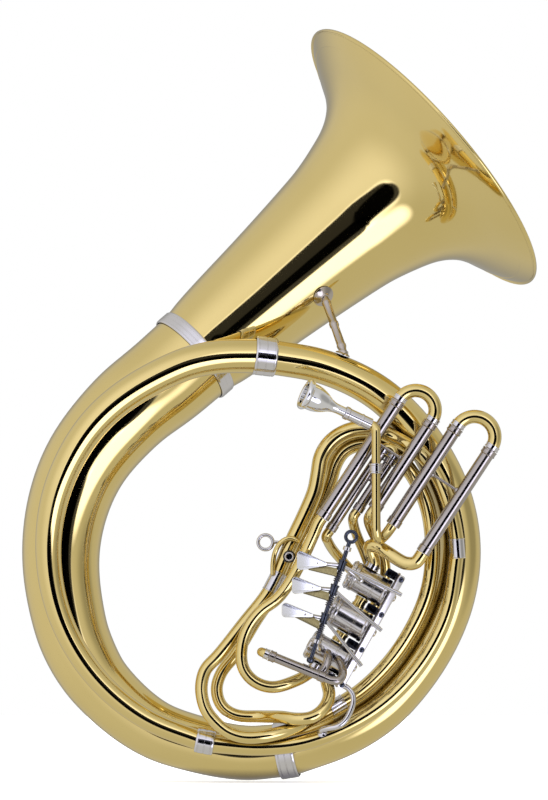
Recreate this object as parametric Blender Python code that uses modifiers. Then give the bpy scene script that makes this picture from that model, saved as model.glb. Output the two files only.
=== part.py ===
"""Helicon: a large circular brass instrument with three rotary valves, worn over the shoulder.

Metres, +Z up, the viewer on the -Y side. The origin is on the ring's inner top, on the shoulder.
"""

import math
from collections import namedtuple

import bmesh
import bpy
from mathutils import Matrix, Vector

MM = 0.001
TOWARDS = Vector((0, -1, 0))
AWAY = Vector((0, 1, 0))
UP = Vector((0, 0, 1))
TURNED_SIDES = 18
SLEEVE_SIDES = 14
SMALL_SIDES = 12
RING_SIDES = 16

# The big ring: its centre from the shoulder rest, and its turns as (angle, radius, depth, bore radius)
RING_X = -68.4
RING_Z = -202.8
BELL_BRANCH = [
    (131, 213.6, 0, 54.5), (155, 215.4, 0, 51.0), (180, 219.6, 0, 47.0), (204, 228.7, 0, 44.0),
    (215, 235.2, 0, 41.8), (225, 240.0, 0, 38.5), (243, 246.0, 0, 35.4), (256, 245.5, 0, 34.4),
    (270, 249.6, -1, 33.0), (281, 251.0, -4, 32.2),
]
BIG_BOW = [
    (283, 251.4, -5, 32.0), (300, 254.4, -10, 30.3), (315, 256.8, -15, 28.8), (340, 259.2, -22, 27.0),
    (360, 261.0, -27, 25.2), (380, 255.6, -32, 23.6), (405, 247.2, -42, 21.4), (425, 236.4, -55, 20.8),
    (442.4, 229.0, -63, 20.6),
]
SECOND_BRANCH = [
    (444.4, 229.0, -64, 20.6), (458, 228.8, -72, 20.2), (470, 228.8, -77, 19.8), (497, 231.6, -79, 18.6),
    (520, 232.6, -76, 17.2), (540, 233.4, -68, 15.6), (560, 235.0, -64, 14.4), (580, 236.4, -62, 13.5),
    (600, 238.0, -60, 12.6), (618, 238.8, -58, 12.0),
]
INNER_BRANCH = [
    (620, 238.8, -58, 11.9), (635, 241.5, -58, 10.6), (650, 247.2, -60, 9.9), (675, 254.4, -63, 9.0),
    (700, 258.0, -66, 8.7), (719, 256.8, -68, 8.5),
]

# The turns inside the ring, as (x, depth, z, bore radius) in mm
OUTER_TURN = [
    (188.3, -68, -205.4, 8.5), (187, -68, -190, 8.5), (179, -69, -154, 8.6), (163, -68, -116, 8.8),
    (144, -68, -92, 9.2), (130, -64, -83, 9.4), (116, -58, -75, 9.6), (98, -56, -66, 10.0),
    (80, -56, -62, 10.0), (58, -56, -65, 10.0), (38, -57, -77, 10.0), (26, -59, -95, 9.8),
    (22, -61, -116, 9.6), (18, -62, -136, 9.5), (10, -62, -156, 9.4), (-12, -62, -202, 9.0),
    (-36, -63, -256, 8.6), (-66, -66, -294, 8.3), (-98, -70, -334, 7.9), (-113, -74, -350, 7.7),
    (-118, -76, -368, 7.6), (-117, -78, -384, 7.5), (-112, -79, -399, 7.5), (-102, -79, -412, 7.5),
    (-86, -79, -425, 7.5), (-66, -79, -431, 7.7), (-38, -77, -429, 8.0), (-6, -65, -420, 8.2),
    (19, -52, -408, 8.4), (44, -45, -394, 8.6),
]
INNER_TURN = [
    (74, -44, -375, 8.8), (103, -47, -347, 9.0), (128, -49, -313, 9.2), (152, -51, -262, 9.4),
    (159, -52, -214, 9.4), (154, -52, -160, 9.4), (138, -50, -122, 9.4), (119, -46, -98, 9.4),
    (96, -42, -83, 9.4), (72, -40, -80, 9.4), (53, -39, -88, 9.2), (42, -38, -104, 9.2),
    (36, -38, -124, 9.0), (28, -38, -146, 8.8), (4, -38, -192, 8.6), (-22, -38, -246, 8.2),
    (-52, -40, -290, 7.8), (-78, -44, -334, 7.4), (-94, -48, -354, 7.2), (-100, -50, -374, 7.2),
    (-94, -51, -394, 7.2), (-78, -52, -405, 7.2), (-48, -53, -407, 7.4), (-22, -72, -407, 7.6),
    (-4, -82, -409, 7.6), (14, -84, -407, 7.6), (28, -80, -397, 7.6), (35, -72, -381, 7.6),
]
TURN_GAP = 0.35

# How far a bent tube's ends run straight: its first ring there, and where the bend starts
END_STRAIGHT = (2, 8)

# The third valve's loop from its slide's left sleeve round the lower left, as (x, depth, z) in mm
VALVE_LOOP = [
    (17, -90, -186), (4, -88, -215), (-12, -86, -245), (-28, -84, -266), (-46, -84, -279),
    (-62, -84, -299), (-70, -84, -325), (-68, -84, -348), (-55, -84, -364), (-34, -84, -371),
    (-12, -81, -366),
]
LOOP_RADIUS = 7.2

# The crooks between the slides and the casings, as (x, depth, z) in mm
MAIN_CROOK = [
    (139, -90, -221), (134, -89, -223), (129, -88, -223), (124, -87, -222), (106, -81, -211),
    (92, -74, -203), (83, -68, -203),
]
FIRST_CROOK_LEFT = [(33, -72, -196), (40, -52, -208), (53, -33, -223), (66, -26, -237)]
FIRST_CROOK_RIGHT = [(64, -70, -176), (69, -50, -192), (78, -33, -213), (86, -26, -237)]
THIRD_CROOK = [
    (82, -78, -171), (86, -60, -183), (95, -38, -202), (103, -24, -232), (92, -20, -272), (75, -24, -289),
]
FRONT_TAIL = [(46, -113, -362), (51, -106, -355), (50, -97, -346)]
BACK_TAIL = [(25, -99, -353), (31, -98, -345), (33, -94, -336)]
TAIL_STEP = 0.4
TAIL_OVERLAP = 1
FRONT_TAIL_SEAT = 11
BACK_TAIL_SEAT = -4

# Where the other tubes meet the casings, along each casing's axis
MAIN_CROOK_SEAT = -8
FIRST_CROOK_SEATS = (-11, 4)
THIRD_CROOK_SEAT = 8
VALVE_LOOP_SEAT = -9

# The bell: its axis from the bell ferrule, its sizes, and its shape as (share of length, share of flare)
BELL_START = (-129.6, 24, 24)
BELL_RISE_DEG = 41
BELL_AWAY_DEG = 13
BELL_FOOT = 8
BELL_LENGTH = 372.6
BELL_THROAT_RADIUS = 58
BELL_MOUTH_RADIUS = 197.4
BELL_WALL = 1.8
BELL_RIM_BEAD = 2.6
BELL_SEAM_GAP = 0.3
BELL_STEM_SHAPE = [
    (0, 0), (0.024, 0.004), (0.059, 0.040), (0.177, 0.075), (0.292, 0.093), (0.424, 0.135),
    (0.598, 0.195), (0.650, 0.221),
]
BELL_FLARE_SHAPE = [
    (0.650, 0.221), (0.730, 0.277), (0.819, 0.362), (0.880, 0.479), (0.921, 0.624), (0.953, 0.789),
    (0.980, 0.918), (1, 1),
]
BELL_SIDES = 28

# The stem of the bell branch, which the bell ferrule joins to the bell
STEM_LENGTH = 45
STEM_STEP = 0.2
STEM_NARROWING = 1

# Ridged ferrules over the joints between the branches
FERRULE_WALL = 2.2
FERRULE_RIDGE = 0.8
FERRULE_RIDGES = 3
FERRULE_WIDTH = {"bell_ferrule": 18, "bottom_ferrule": 22, "top_ferrule": 26, "lower_ferrule": 22}
FERRULE_CLEARANCE = {
    "bell_ferrule": 0.6, "bottom_ferrule": 0.9, "top_ferrule": 1.15, "lower_ferrule": 1.2,
}

# The valve block: three casings in a row, their axes leaning in the picture plane
VALVE_ONE = (83.4, -62, -249.0)
VALVE_PITCH = 48
VALVE_AXIS_DEG = -29.4
VALVE_ROW_DEG = -119.4
CASING_RADIUS = 18
CASING_WALL = 3.2
CASING_HALF = 23
CASING_FLOOR = 4
CASING_LIP = 5
CASING_WAIST = 1
CAP_THICK = 6
CAP_EDGE = 2
CAP_BOSS_RADIUS = 4
CAP_BOSS_RISE = 1
ROTOR_CLEARANCE = 0.4
SEAT_GAP = 0.3
SHAFT_RADIUS = 3.6
SHAFT_END = 30
STOP_ARM_REACH = 12
STOP_ARM_THICK = 3
STOP_ARM_HUB = 6.5
STOP_ARM_TIP = 3.0
LINK_RADIUS = 1.6
LINK_OVERRUN = 2
CONNECTOR_RADIUS = 7.2
INNER_TURN_SEAT = 9
CROOK_RADIUS = 6.4

# The strip over the casings' linkage ends, and its posts
STRIP_THICK = 3
STRIP_HALF_WIDE = 8
STRIP_MARGIN = 30
STRIP_CORNER = 3
STRIP_CLEARANCE = 1.4
POSTS = 4
POST_RADIUS = 3.6
POST_SINK = 0.6
POST_HEIGHT = CASING_HALF + STRIP_THICK + POST_RADIUS - POST_SINK
POST_FRONT = -90
POST_BACK = -58

# The levers: one axle, three hubs, arms and touch plates
AXLE_TOP = (58.8, -196.8)
AXLE_FOOT = (13.2, -334.8)
AXLE_DEPTH = -114
AXLE_RADIUS = 2.6
AXLE_FOOT_SHAPE = [(4.6, 2), (4.6, 4), (3, 6.4), (0, 7)]
HUB_RADIUS = 5.4
HUB_LENGTH = 13
ARM_RADIUS = 2.4
ARM_ROOT = 0.8
ARM_OVERRUN = 3
NECK_SHARE = 0.55
NECK_RISE = 3
NECK_SINK = 0.4
NECK_TAPER = 0.9
MOVING_GAP = 0.4
PLATE_DEPTH = -126
PLATE_THICK = 2.4
PLATE_CORNER = 4.5
PLATE_TIP = 2.6

# Each touch plate as its left edge's x, that edge's top and bottom z, and its tip's x and z, in mm
PLATES = [
    (-4, -204, -231, 38, -225), (-10, -235, -259, 32, -254), (-22, -266, -286, 26, -288),
]
SPRING_WIRE = 0.6
SPRING_TURNS = 5
SPRING_PITCH = 2.4
SPRING_POINTS = 8

# The bracket that carries the axle, its legs as (share of the axle, casing)
BRACKET_DEPTH = -100
BRACKET_RADIUS = 2.5
BRACKET_ENDS = (0.06, 0.86)
BRACKET_LEG_RADIUS = 2.3
BRACKET_LEG_SEAT = -14
BRACKET_LEG_STRAIGHT = 7
BRACKET_LEGS = ((0.2, 0), (0.8, 2))
BRACKET_OVERRUN = 4
STALK_RADIUS = 1.9
STALK_SINK = 0.8
EYE_CLEARANCE = 0.35
EYE_RADIUS = 5
EYE_LENGTH = 5
AXLE_RING_RADIUS = 6.4
AXLE_RING_WIRE = 2.4

# The pull slides: the top of the left leg, its depth, how they lean, and how their legs spread, in mm
# Legs side by side spread at 0 degrees, and legs one behind the other at 90
SLIDE_LEAN_DEG = 56.8
LOW_SLIDE_LEAN_DEG = 157.8
BESIDE_DEG = 0
BEHIND_DEG = 90
SLIDE_WALL = 1.6
SLIDE_CLEARANCE = 0.35
LEG_INSIDE = 58
LEG_MARGIN = 4
SHOULDER = (0.1, 0.3)
BOW_RISE = 2
BOW_STEPS = 8
SLEEVE_TOP = 1
BAND_RISE = 1
BAND_END = 7
RUNG_SHARE = 0.45
RUNG_RADIUS = 2
FOOT_GAP = 0.4
Slide = namedtuple("Slide", "top depth lean spread spacing radius sleeves")
SLIDES = {
    "main": Slide((187, -60), -90, SLIDE_LEAN_DEG, BESIDE_DEG, 48.6, 8.1, (140, 148)),
    "third": Slide((117.6, -28.4), -90, SLIDE_LEAN_DEG, BESIDE_DEG, 46.5, 8.1, (167, 124)),
    "first": Slide((97.3, -89.7), -80, SLIDE_LEAN_DEG, BESIDE_DEG, 14.4, 6, (112, 75)),
    "second": Slide((-37, -332), -114.6, LOW_SLIDE_LEAN_DEG, BEHIND_DEG, 15.6, 5.5, (72, 50)),
}

# The leadpipe and mouthpipe
LEADPIPE_X = 90.6
LEADPIPE_DEPTH = -108
LEADPIPE_RADIUS = 5.4
LEADPIPE_DROP = 68
LEADPIPE_TURN_REACH = (24, 24)
LEADPIPE_TURN_STEPS = 10
CLAMP_HEIGHT = -109.2
CLAMP_HALF = 6
CLAMP_WALL = 2.2
CLAMP_CLEARANCE = 0.8
PIPE_GAP = 0.3

# The mouthpiece, as (radius, height) from its shank's end, and the receiver round its shank
MOUTHPIECE_AXIS = (-0.885, -0.21, 0.414)
MOUTHPIECE_PLACE = (74.4, -108, -52.2)
MOUTHPIECE_OUTSIDE = [
    (13.0, 78), (16.5, 79.5), (19.0, 77.5), (19.2, 74), (16.5, 71), (15.8, 62), (11.5, 50), (7.5, 43),
    (6.0, 36), (5.6, 16), (5.2, 1),
]
MOUTHPIECE_BORE = [(3.2, 1), (3.6, 40), (6.0, 50), (11.5, 62)]
RECEIVER_LENGTH = 24
RECEIVER_OVERLAP = 11
RECEIVER_WALL = 1.2
RECEIVER_CLEARANCE = 0.6
RECEIVER_LIP = 0.6
RECEIVER_LIP_LENGTH = 5
RECEIVER_LIP_SLOPE = 2
SHANK_GAP = 0.6
PIPE_BEND_DROP = 8
PIPE_BEND_REACH = (3.4, 3.6)

# The thumb ring
THUMB_RING_PLACE = (-41.4, -64, -198)
THUMB_RING_RADIUS = 8.8
THUMB_RING_WIRE = 2.2
THUMB_STEM = 20.0
THUMB_STEM_DROP = 1.6

# The braces: from the bell to the ring, and from the last post to the inner branch
BRACE_GAP = 0.35
BELL_BRACE_DISTANCE = 158
BELL_BRACE_TURN_DEG = 51
BELL_BRACE_RING_DEG = 422
BELL_BRACE_RADIUS = 4.5
BELL_FOOT_RADIUS = 13
RING_FOOT_RADIUS = 9
FOOT_THICK = 3
FOOT_NECK = 0.6
BOTTOM_BRACE_RADIUS = 3.4
BOTTOM_BRACE_STRAIGHT = 6
BOTTOM_BRACE_DEPTH = -78
BOTTOM_BRACE_RING_DEG = 653
BOTTOM_BRACE_TURN_DEG = 125
BOTTOM_BRACE_KNOTS = [(64, -79, -382), (60, -80, -401), (48, -82, -417)]

MATERIALS = {
    "lacquered_brass": ((0.80, 0.58, 0.22, 1.0), 0.16, 1.0),
    "nickel_silver": ((0.72, 0.70, 0.66, 1.0), 0.22, 1.0),
    "silver_plate": ((0.86, 0.85, 0.82, 1.0), 0.15, 1.0),
    "spring_steel": ((0.25, 0.25, 0.27, 1.0), 0.35, 1.0),
}


def point(x, y, z):
    return Vector((x, y, z)) * MM


def ring_point(angle, radius, depth):
    turn = math.radians(angle)
    return point(RING_X + radius * math.cos(turn), depth, RING_Z + radius * math.sin(turn))


def in_plane(degrees):
    """A direction in the picture plane, counted from +X towards +Z."""
    turn = math.radians(degrees)
    return Vector((math.cos(turn), 0, math.sin(turn)))


def clear_scene():
    for thing in list(bpy.data.objects):
        bpy.data.objects.remove(thing, do_unlink=True)


def new_collection(name):
    found = bpy.data.collections.new(name)
    bpy.context.scene.collection.children.link(found)
    return found


def material(name):
    made = bpy.data.materials.get(name)
    if made:
        return made
    colour, roughness, metallic = MATERIALS[name]
    made = bpy.data.materials.new(name)
    made.use_nodes = True
    made.diffuse_color = colour
    shader = made.node_tree.nodes["Principled BSDF"]
    shader.inputs["Base Color"].default_value = colour
    shader.inputs["Roughness"].default_value = roughness
    shader.inputs["Metallic"].default_value = metallic
    return made


def add(name, data, finish):
    made = bpy.data.objects.new(name, data)
    data.materials.append(material(finish))
    HELICON.objects.link(made)
    return made


def aim(thing, place, axis, upright=Vector((0, 1, 0))):
    """Puts the object's own Z along axis, and its X as near upright as that allows."""
    along = axis.normalized()
    side = (upright - upright.project(along)).normalized()
    turned = Matrix((side, along.cross(side), along)).transposed().to_4x4()
    thing.matrix_world = Matrix.Translation(place) @ turned


def smooth(stations, steps):
    """Points on one smooth curve through (point, radius) stations, with no swing where they lie close."""
    places = [place for place, _ in stations]
    chords = [(after - before).normalized() for before, after in zip(places, places[1:])]
    ways = [chords[0], *((a + b).normalized() for a, b in zip(chords, chords[1:])), chords[-1]]
    found = []
    for number, ((start, radius), (end, next_radius)) in enumerate(zip(stations, stations[1:])):
        reach = (end - start).length
        for step in range(steps):
            t = step / steps
            place = start * (2 * t**3 - 3 * t * t + 1) + end * (3 * t * t - 2 * t**3)
            place += (ways[number] * (t**3 - 2 * t * t + t) + ways[number + 1] * (t**3 - t * t)) * reach
            found.append((place, radius + (next_radius - radius) * t))
    return found + [stations[-1]]


def tube(name, stations, finish, bevel_resolution=4):
    """A round tube through (point, radius) stations, closed at both ends."""
    data = bpy.data.curves.new(name, "CURVE")
    data.dimensions = "3D"
    data.bevel_depth = 1.0
    data.bevel_resolution = bevel_resolution
    data.use_fill_caps = True
    spline = data.splines.new("POLY")
    spline.points.add(len(stations) - 1)
    for knot, (place, radius) in zip(spline.points, stations):
        knot.co = (*place, 1)
        knot.radius = radius
    return add(name, data, finish)


def lathe(name, profile, place, axis, finish, steps=TURNED_SIDES):
    """A turned shape: the profile's (radius, height) points run down the outer side, in mm."""
    mesh = bpy.data.meshes.new(name)
    corners = [(r * MM, 0, z * MM) for r, z in profile]
    edges = [(n, n + 1) for n in range(len(corners) - 1)]
    if profile[0][0] > 0:
        edges.append((len(corners) - 1, 0))
    mesh.from_pydata(corners, edges, [])
    made = add(name, mesh, finish)
    screw = made.modifiers.new("turn", "SCREW")
    screw.steps = screw.render_steps = steps
    screw.use_merge_vertices = True
    screw.merge_threshold = 0.00005
    screw.use_smooth_shade = True
    aim(made, place, axis)
    return made


def as_mesh(thing):
    """Turns a curve or a modified mesh into a plain welded mesh object of the same name and place."""
    bpy.context.view_layer.update()
    name = thing.name
    finish = thing.data.materials[0].name
    graph = bpy.context.evaluated_depsgraph_get()
    mesh = bpy.data.meshes.new_from_object(thing.evaluated_get(graph))
    work = bmesh.new()
    work.from_mesh(mesh)
    bmesh.ops.remove_doubles(work, verts=work.verts, dist=0.00002)
    bmesh.ops.recalc_face_normals(work, faces=work.faces)
    work.to_mesh(mesh)
    work.free()
    place = thing.matrix_world.copy()
    bpy.data.objects.remove(thing, do_unlink=True)
    mesh.materials.clear()
    made = add(name, mesh, finish)
    made.name = name
    made.matrix_world = place
    return made


def joined(base, others, operation="UNION"):
    """Base with the other shapes joined to it or cut from it; each tool goes among the cutters."""
    base = as_mesh(base)
    for other in others:
        tool = as_mesh(other)
        HELICON.objects.unlink(tool)
        CUTTERS.objects.link(tool)
        tool.hide_render = True
        tool.display_type = "WIRE"
        boolean = base.modifiers.new(operation.lower(), "BOOLEAN")
        boolean.operation = operation
        boolean.object = tool
    return base


def straight(name, start, end, radius, finish, bevel_resolution=2):
    return tube(name, [(start, radius), (end, radius)], finish, bevel_resolution)


def ring_stations(rows):
    return [(ring_point(angle, radius, depth), bore * MM) for angle, radius, depth, bore in rows]


def route_stations(rows):
    return [(point(x, y, z), bore * MM) for x, y, z, bore in rows]


def bell_axis():
    rise, away = math.radians(BELL_RISE_DEG), math.radians(BELL_AWAY_DEG)
    return Vector((math.cos(rise) * math.cos(away), math.sin(away), math.sin(rise) * math.cos(away)))


def bell_profile(shape):
    """The shape's (distance from the ferrule, outer radius) points in mm."""
    flare = BELL_MOUTH_RADIUS - BELL_THROAT_RADIUS
    return [(BELL_FOOT + BELL_LENGTH * along, BELL_THROAT_RADIUS + flare * wide) for along, wide in shape]


def bell_wall(profile):
    """The profile's points down the outer side and back up the inner one."""
    outer = [(radius, distance) for distance, radius in profile]
    inner = [(radius - BELL_WALL, distance) for radius, distance in outer]
    return list(reversed(outer)) + inner


def make_bell():
    place, axis = point(*BELL_START), bell_axis()
    stem, flare = bell_profile(BELL_STEM_SHAPE), bell_profile(BELL_FLARE_SHAPE)
    lathe("bell_stem", bell_wall(stem), place, axis, "lacquered_brass", BELL_SIDES)
    flare[0] = (flare[0][0] + BELL_SEAM_GAP, flare[0][1])
    tip, tip_radius = flare[-1]
    bead = []
    for turn in range(-40, 221, 52):
        corner = math.radians(turn)
        bead.append((
            tip_radius + BELL_RIM_BEAD * math.cos(corner),
            tip + BELL_RIM_BEAD * math.sin(corner),
        ))
    rim = list(reversed(bead))
    lathe("bell_flare", bell_wall(flare[:-1]) + rim, place, axis, "lacquered_brass", BELL_SIDES)


def ferrule(name, place, axis, bore):
    """A ridged sleeve round a tube of this radius: three ridges between two plain lips."""
    width = FERRULE_WIDTH[name]
    inside = (bore + FERRULE_CLEARANCE[name]) / math.cos(math.pi / TURNED_SIDES)
    outside = inside + FERRULE_WALL
    profile = [(outside - FERRULE_RIDGE, width / 2)]
    for ridge in range(FERRULE_RIDGES):
        step = width / FERRULE_RIDGES
        top = width / 2 - step * (ridge + 0.5)
        profile += [(outside + FERRULE_RIDGE, top), (outside - FERRULE_RIDGE, top - step / 2)]
    profile += [(inside, -width / 2), (inside, width / 2)]
    lathe(name, profile, place, axis, "nickel_silver")


def make_branches():
    start = point(*BELL_START)
    axis = bell_axis()
    radius = BELL_THROAT_RADIUS - STEM_STEP
    stem = [(start, radius * MM), (start - axis * STEM_LENGTH * MM, (radius - STEM_NARROWING) * MM)]
    stations = stem + ring_stations(BELL_BRANCH)
    tube("bell_branch", smooth(stations, 2), "lacquered_brass")
    tube("big_bow", smooth(ring_stations(BIG_BOW), 2), "lacquered_brass")
    tube("second_branch", smooth(ring_stations(SECOND_BRANCH), 2), "lacquered_brass")
    tube("inner_branch", smooth(ring_stations(INNER_BRANCH), 2), "lacquered_brass", 2)
    ferrule("bell_ferrule", start + axis * BELL_FOOT / 2 * MM, axis, BELL_THROAT_RADIUS)
    for name, before, after in (
        ("bottom_ferrule", BELL_BRANCH, BIG_BOW),
        ("top_ferrule", BIG_BOW, SECOND_BRANCH),
        ("lower_ferrule", SECOND_BRANCH, INNER_BRANCH),
    ):
        here = ring_point(*before[-1][:3])
        there = ring_point(*after[0][:3])
        ferrule(name, (here + there) / 2, there - here, before[-1][3])


def make_turns():
    """The outer turn, and the inner turn from its end on to the third casing's lower side."""
    outer = smooth(route_stations(OUTER_TURN), 2)
    tube("outer_turn", outer, "lacquered_brass", 2)
    (before, _), (last, radius) = outer[-2:]
    way = (last - before).normalized()
    first = [(last + way * (TURN_GAP + reach) * MM, radius) for reach in (0, *END_STRAIGHT)]
    seat, out = casing_side(2, INNER_TURN_SEAT, in_plane(VALVE_ROW_DEG))
    radius = INNER_TURN[-1][3] * MM
    ends = [(seat + out * reach * MM, radius) for reach in (*END_STRAIGHT[::-1], 0)]
    stations = smooth(first[1:] + route_stations(INNER_TURN) + ends[:-1], 2)
    tube("inner_turn", first[:1] + stations + ends[-1:], "lacquered_brass", 2)


def valve_centre(number):
    return point(*VALVE_ONE) + in_plane(VALVE_ROW_DEG) * VALVE_PITCH * number * MM


def link_pivot(number):
    """Where the link meets the stop arm at rest: half way between away from the viewer and up the row."""
    axis, row = in_plane(VALVE_AXIS_DEG), in_plane(VALVE_ROW_DEG)
    arm = (Vector((0, 1, 0)) - row).normalized() * STOP_ARM_REACH
    height = SHAFT_END + SEAT_GAP + STOP_ARM_THICK + ROTOR_CLEARANCE + LINK_RADIUS
    return valve_centre(number) + (axis * height + arm) * MM


def make_valve(number):
    tag = str(number + 1)
    centre, axis = valve_centre(number), in_plane(VALVE_AXIS_DEG)
    bore = CASING_RADIUS - CASING_WALL
    floor = CASING_HALF - CASING_FLOOR
    lip, waist = CASING_HALF - CASING_LIP, CASING_RADIUS - CASING_WAIST
    hole = SHAFT_RADIUS + ROTOR_CLEARANCE
    casing = [
        (CASING_RADIUS, CASING_HALF), (CASING_RADIUS, lip), (waist, lip - CASING_WAIST),
        (waist, CASING_WAIST - lip), (CASING_RADIUS, -lip), (CASING_RADIUS, -CASING_HALF),
        (bore, -CASING_HALF), (bore, floor), (hole, floor), (hole, CASING_HALF),
    ]
    lathe("valve_casing_" + tag, casing, centre, axis, "nickel_silver")
    turning = bore - ROTOR_CLEARANCE
    high, low = floor - ROTOR_CLEARANCE, ROTOR_CLEARANCE - CASING_HALF
    rotor = [
        (0, SHAFT_END), (SHAFT_RADIUS, SHAFT_END), (SHAFT_RADIUS, high), (turning, high), (turning, low),
        (0, low),
    ]
    lathe("rotor_" + tag, rotor, centre, axis, "lacquered_brass")
    top = -CASING_HALF - SEAT_GAP
    under, boss = top - CAP_THICK, top - CAP_THICK - CAP_BOSS_RISE
    cap = [
        (0, top), (CASING_RADIUS, top), (CASING_RADIUS, under + CAP_EDGE),
        (CASING_RADIUS - CAP_EDGE, under), (CAP_BOSS_RADIUS, boss), (0, boss),
    ]
    lathe("valve_cap_" + tag, cap, centre, axis, "nickel_silver")
    make_stop_arm(tag, centre + axis * (SHAFT_END + SEAT_GAP) * MM, axis, number)


def make_stop_arm(tag, place, axis, number):
    """A drop-shaped arm on the shaft's end, its point at the link."""
    data = bpy.data.curves.new("stop_arm_" + tag, "CURVE")
    data.dimensions = "2D"
    data.fill_mode = "BOTH"
    data.extrude = STOP_ARM_THICK / 2 * MM
    hub, tip = STOP_ARM_HUB, STOP_ARM_TIP
    lean = math.acos((hub - tip) / STOP_ARM_REACH)
    outline = []
    for step in range(7):
        turn = lean + (2 * math.pi - 2 * lean) * step / 6
        outline.append((hub * math.cos(turn), hub * math.sin(turn)))
    for step in range(5):
        turn = -lean + 2 * lean * step / 4
        outline.append((STOP_ARM_REACH + tip * math.cos(turn), tip * math.sin(turn)))
    spline = data.splines.new("POLY")
    spline.points.add(len(outline) - 1)
    spline.use_cyclic_u = True
    for knot, (x, y) in zip(spline.points, outline):
        knot.co = (x * MM, y * MM, 0, 1)
    made = add("stop_arm_" + tag, data, "nickel_silver")
    aim(made, place + axis * STOP_ARM_THICK / 2 * MM, axis, link_pivot(number) - place)


def axle_point(share):
    top = Vector((AXLE_TOP[0], AXLE_DEPTH, AXLE_TOP[1]))
    foot = Vector((AXLE_FOOT[0], AXLE_DEPTH, AXLE_FOOT[1]))
    return (top + (foot - top) * share) * MM


def hub_place(number):
    """The axle point at the height of the touch plate's tip."""
    tip_height = PLATES[number][4]
    return axle_point((tip_height - AXLE_TOP[1]) / (AXLE_FOOT[1] - AXLE_TOP[1]))


def make_lever(number):
    tag = str(number + 1)
    hub = hub_place(number)
    along = (axle_point(1) - axle_point(0)).normalized()
    bore = AXLE_RADIUS + MOVING_GAP
    pivot = link_pivot(number)
    end = Vector((pivot.x, hub.y + STOP_ARM_REACH * math.sqrt(0.5) * MM, pivot.z))
    profile = [
        (HUB_RADIUS, HUB_LENGTH / 2), (HUB_RADIUS, -HUB_LENGTH / 2), (bore, -HUB_LENGTH / 2),
        (bore, HUB_LENGTH / 2),
    ]
    barrel = lathe("lever_" + tag, profile, hub, along, "nickel_silver", SMALL_SIDES)
    out = (end - hub).normalized()
    wall = (HUB_RADIUS + bore) / 2 * MM
    root, tip = hub + out * (wall + ARM_ROOT * MM), end + out * ARM_OVERRUN * MM
    arm = straight("arm_" + tag, root, tip, ARM_RADIUS * MM, "nickel_silver")
    left, high, low, tip_x, tip_z = PLATES[number]
    edge = (high + low) / 2
    under = point(left + (tip_x - left) * NECK_SHARE, PLATE_DEPTH, edge + (tip_z - edge) * NECK_SHARE)
    inward = Vector((under.x, hub.y, under.z)) - hub
    neck = [
        (hub + inward.normalized() * (wall + ARM_ROOT * MM), ARM_RADIUS * MM),
        (hub + inward * 0.5 + TOWARDS * NECK_RISE * MM, ARM_RADIUS * MM),
        (under + AWAY * PLATE_THICK * NECK_SINK * MM, ARM_RADIUS * NECK_TAPER * MM),
    ]
    joined(barrel, [arm, tube("neck_" + tag, smooth(neck, 3), "nickel_silver", 2), make_plate(number)])
    near = end + AWAY * (ARM_RADIUS + MOVING_GAP) * MM
    straight("link_" + tag, near, pivot + AWAY * LINK_OVERRUN * MM, LINK_RADIUS * MM, "nickel_silver")


def rounded(corners, radii, steps=4):
    """An outline, counted anticlockwise, whose corners are rounded by arcs."""
    found = []
    for number, radius in enumerate(radii):
        before, here = corners[number - 1], Vector(corners[number])
        after = corners[(number + 1) % len(corners)]
        into, out = (Vector(before) - here).normalized(), (Vector(after) - here).normalized()
        half = into.angle(out) / 2
        centre = here + (into + out).normalized() * radius / math.sin(half)
        sweep = math.pi - 2 * half
        start = (into * radius / math.tan(half) + here) - centre
        for step in range(steps + 1):
            turn = sweep * step / steps
            found.append((
                centre.x + start.x * math.cos(turn) - start.y * math.sin(turn),
                centre.y + start.x * math.sin(turn) + start.y * math.cos(turn),
            ))
    return found


def flat_plate(name, outline, thick, finish, holes=()):
    """A flat piece with this outline and these round holes, (x, y, radius), lying in its own XY plane."""
    data = bpy.data.curves.new(name, "CURVE")
    data.dimensions = "2D"
    data.fill_mode = "BOTH"
    data.extrude = thick / 2 * MM
    rims = [outline]
    for x, y, radius in holes:
        rims.append([
            (x + radius * math.cos(math.pi * step / 6), y + radius * math.sin(math.pi * step / 6))
            for step in range(12)
        ])
    for rim in rims:
        spline = data.splines.new("POLY")
        spline.points.add(len(rim) - 1)
        spline.use_cyclic_u = True
        for knot, (x, y) in zip(spline.points, rim):
            knot.co = (x * MM, y * MM, 0, 1)
    return add(name, data, finish)


def make_plate(number):
    """A touch plate: three rounded corners, wide at the left, its tip at the axle."""
    left, top, bottom, tip_x, tip_z = PLATES[number]
    corners = [(left, top), (left, bottom), (tip_x, tip_z)]
    outline = rounded(corners, (PLATE_CORNER, PLATE_CORNER, PLATE_TIP))
    made = flat_plate("plate_%d" % (number + 1), outline, PLATE_THICK, "nickel_silver")
    aim(made, point(0, PLATE_DEPTH, 0), Vector((0, -1, 0)), Vector((1, 0, 0)))
    return made


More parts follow.
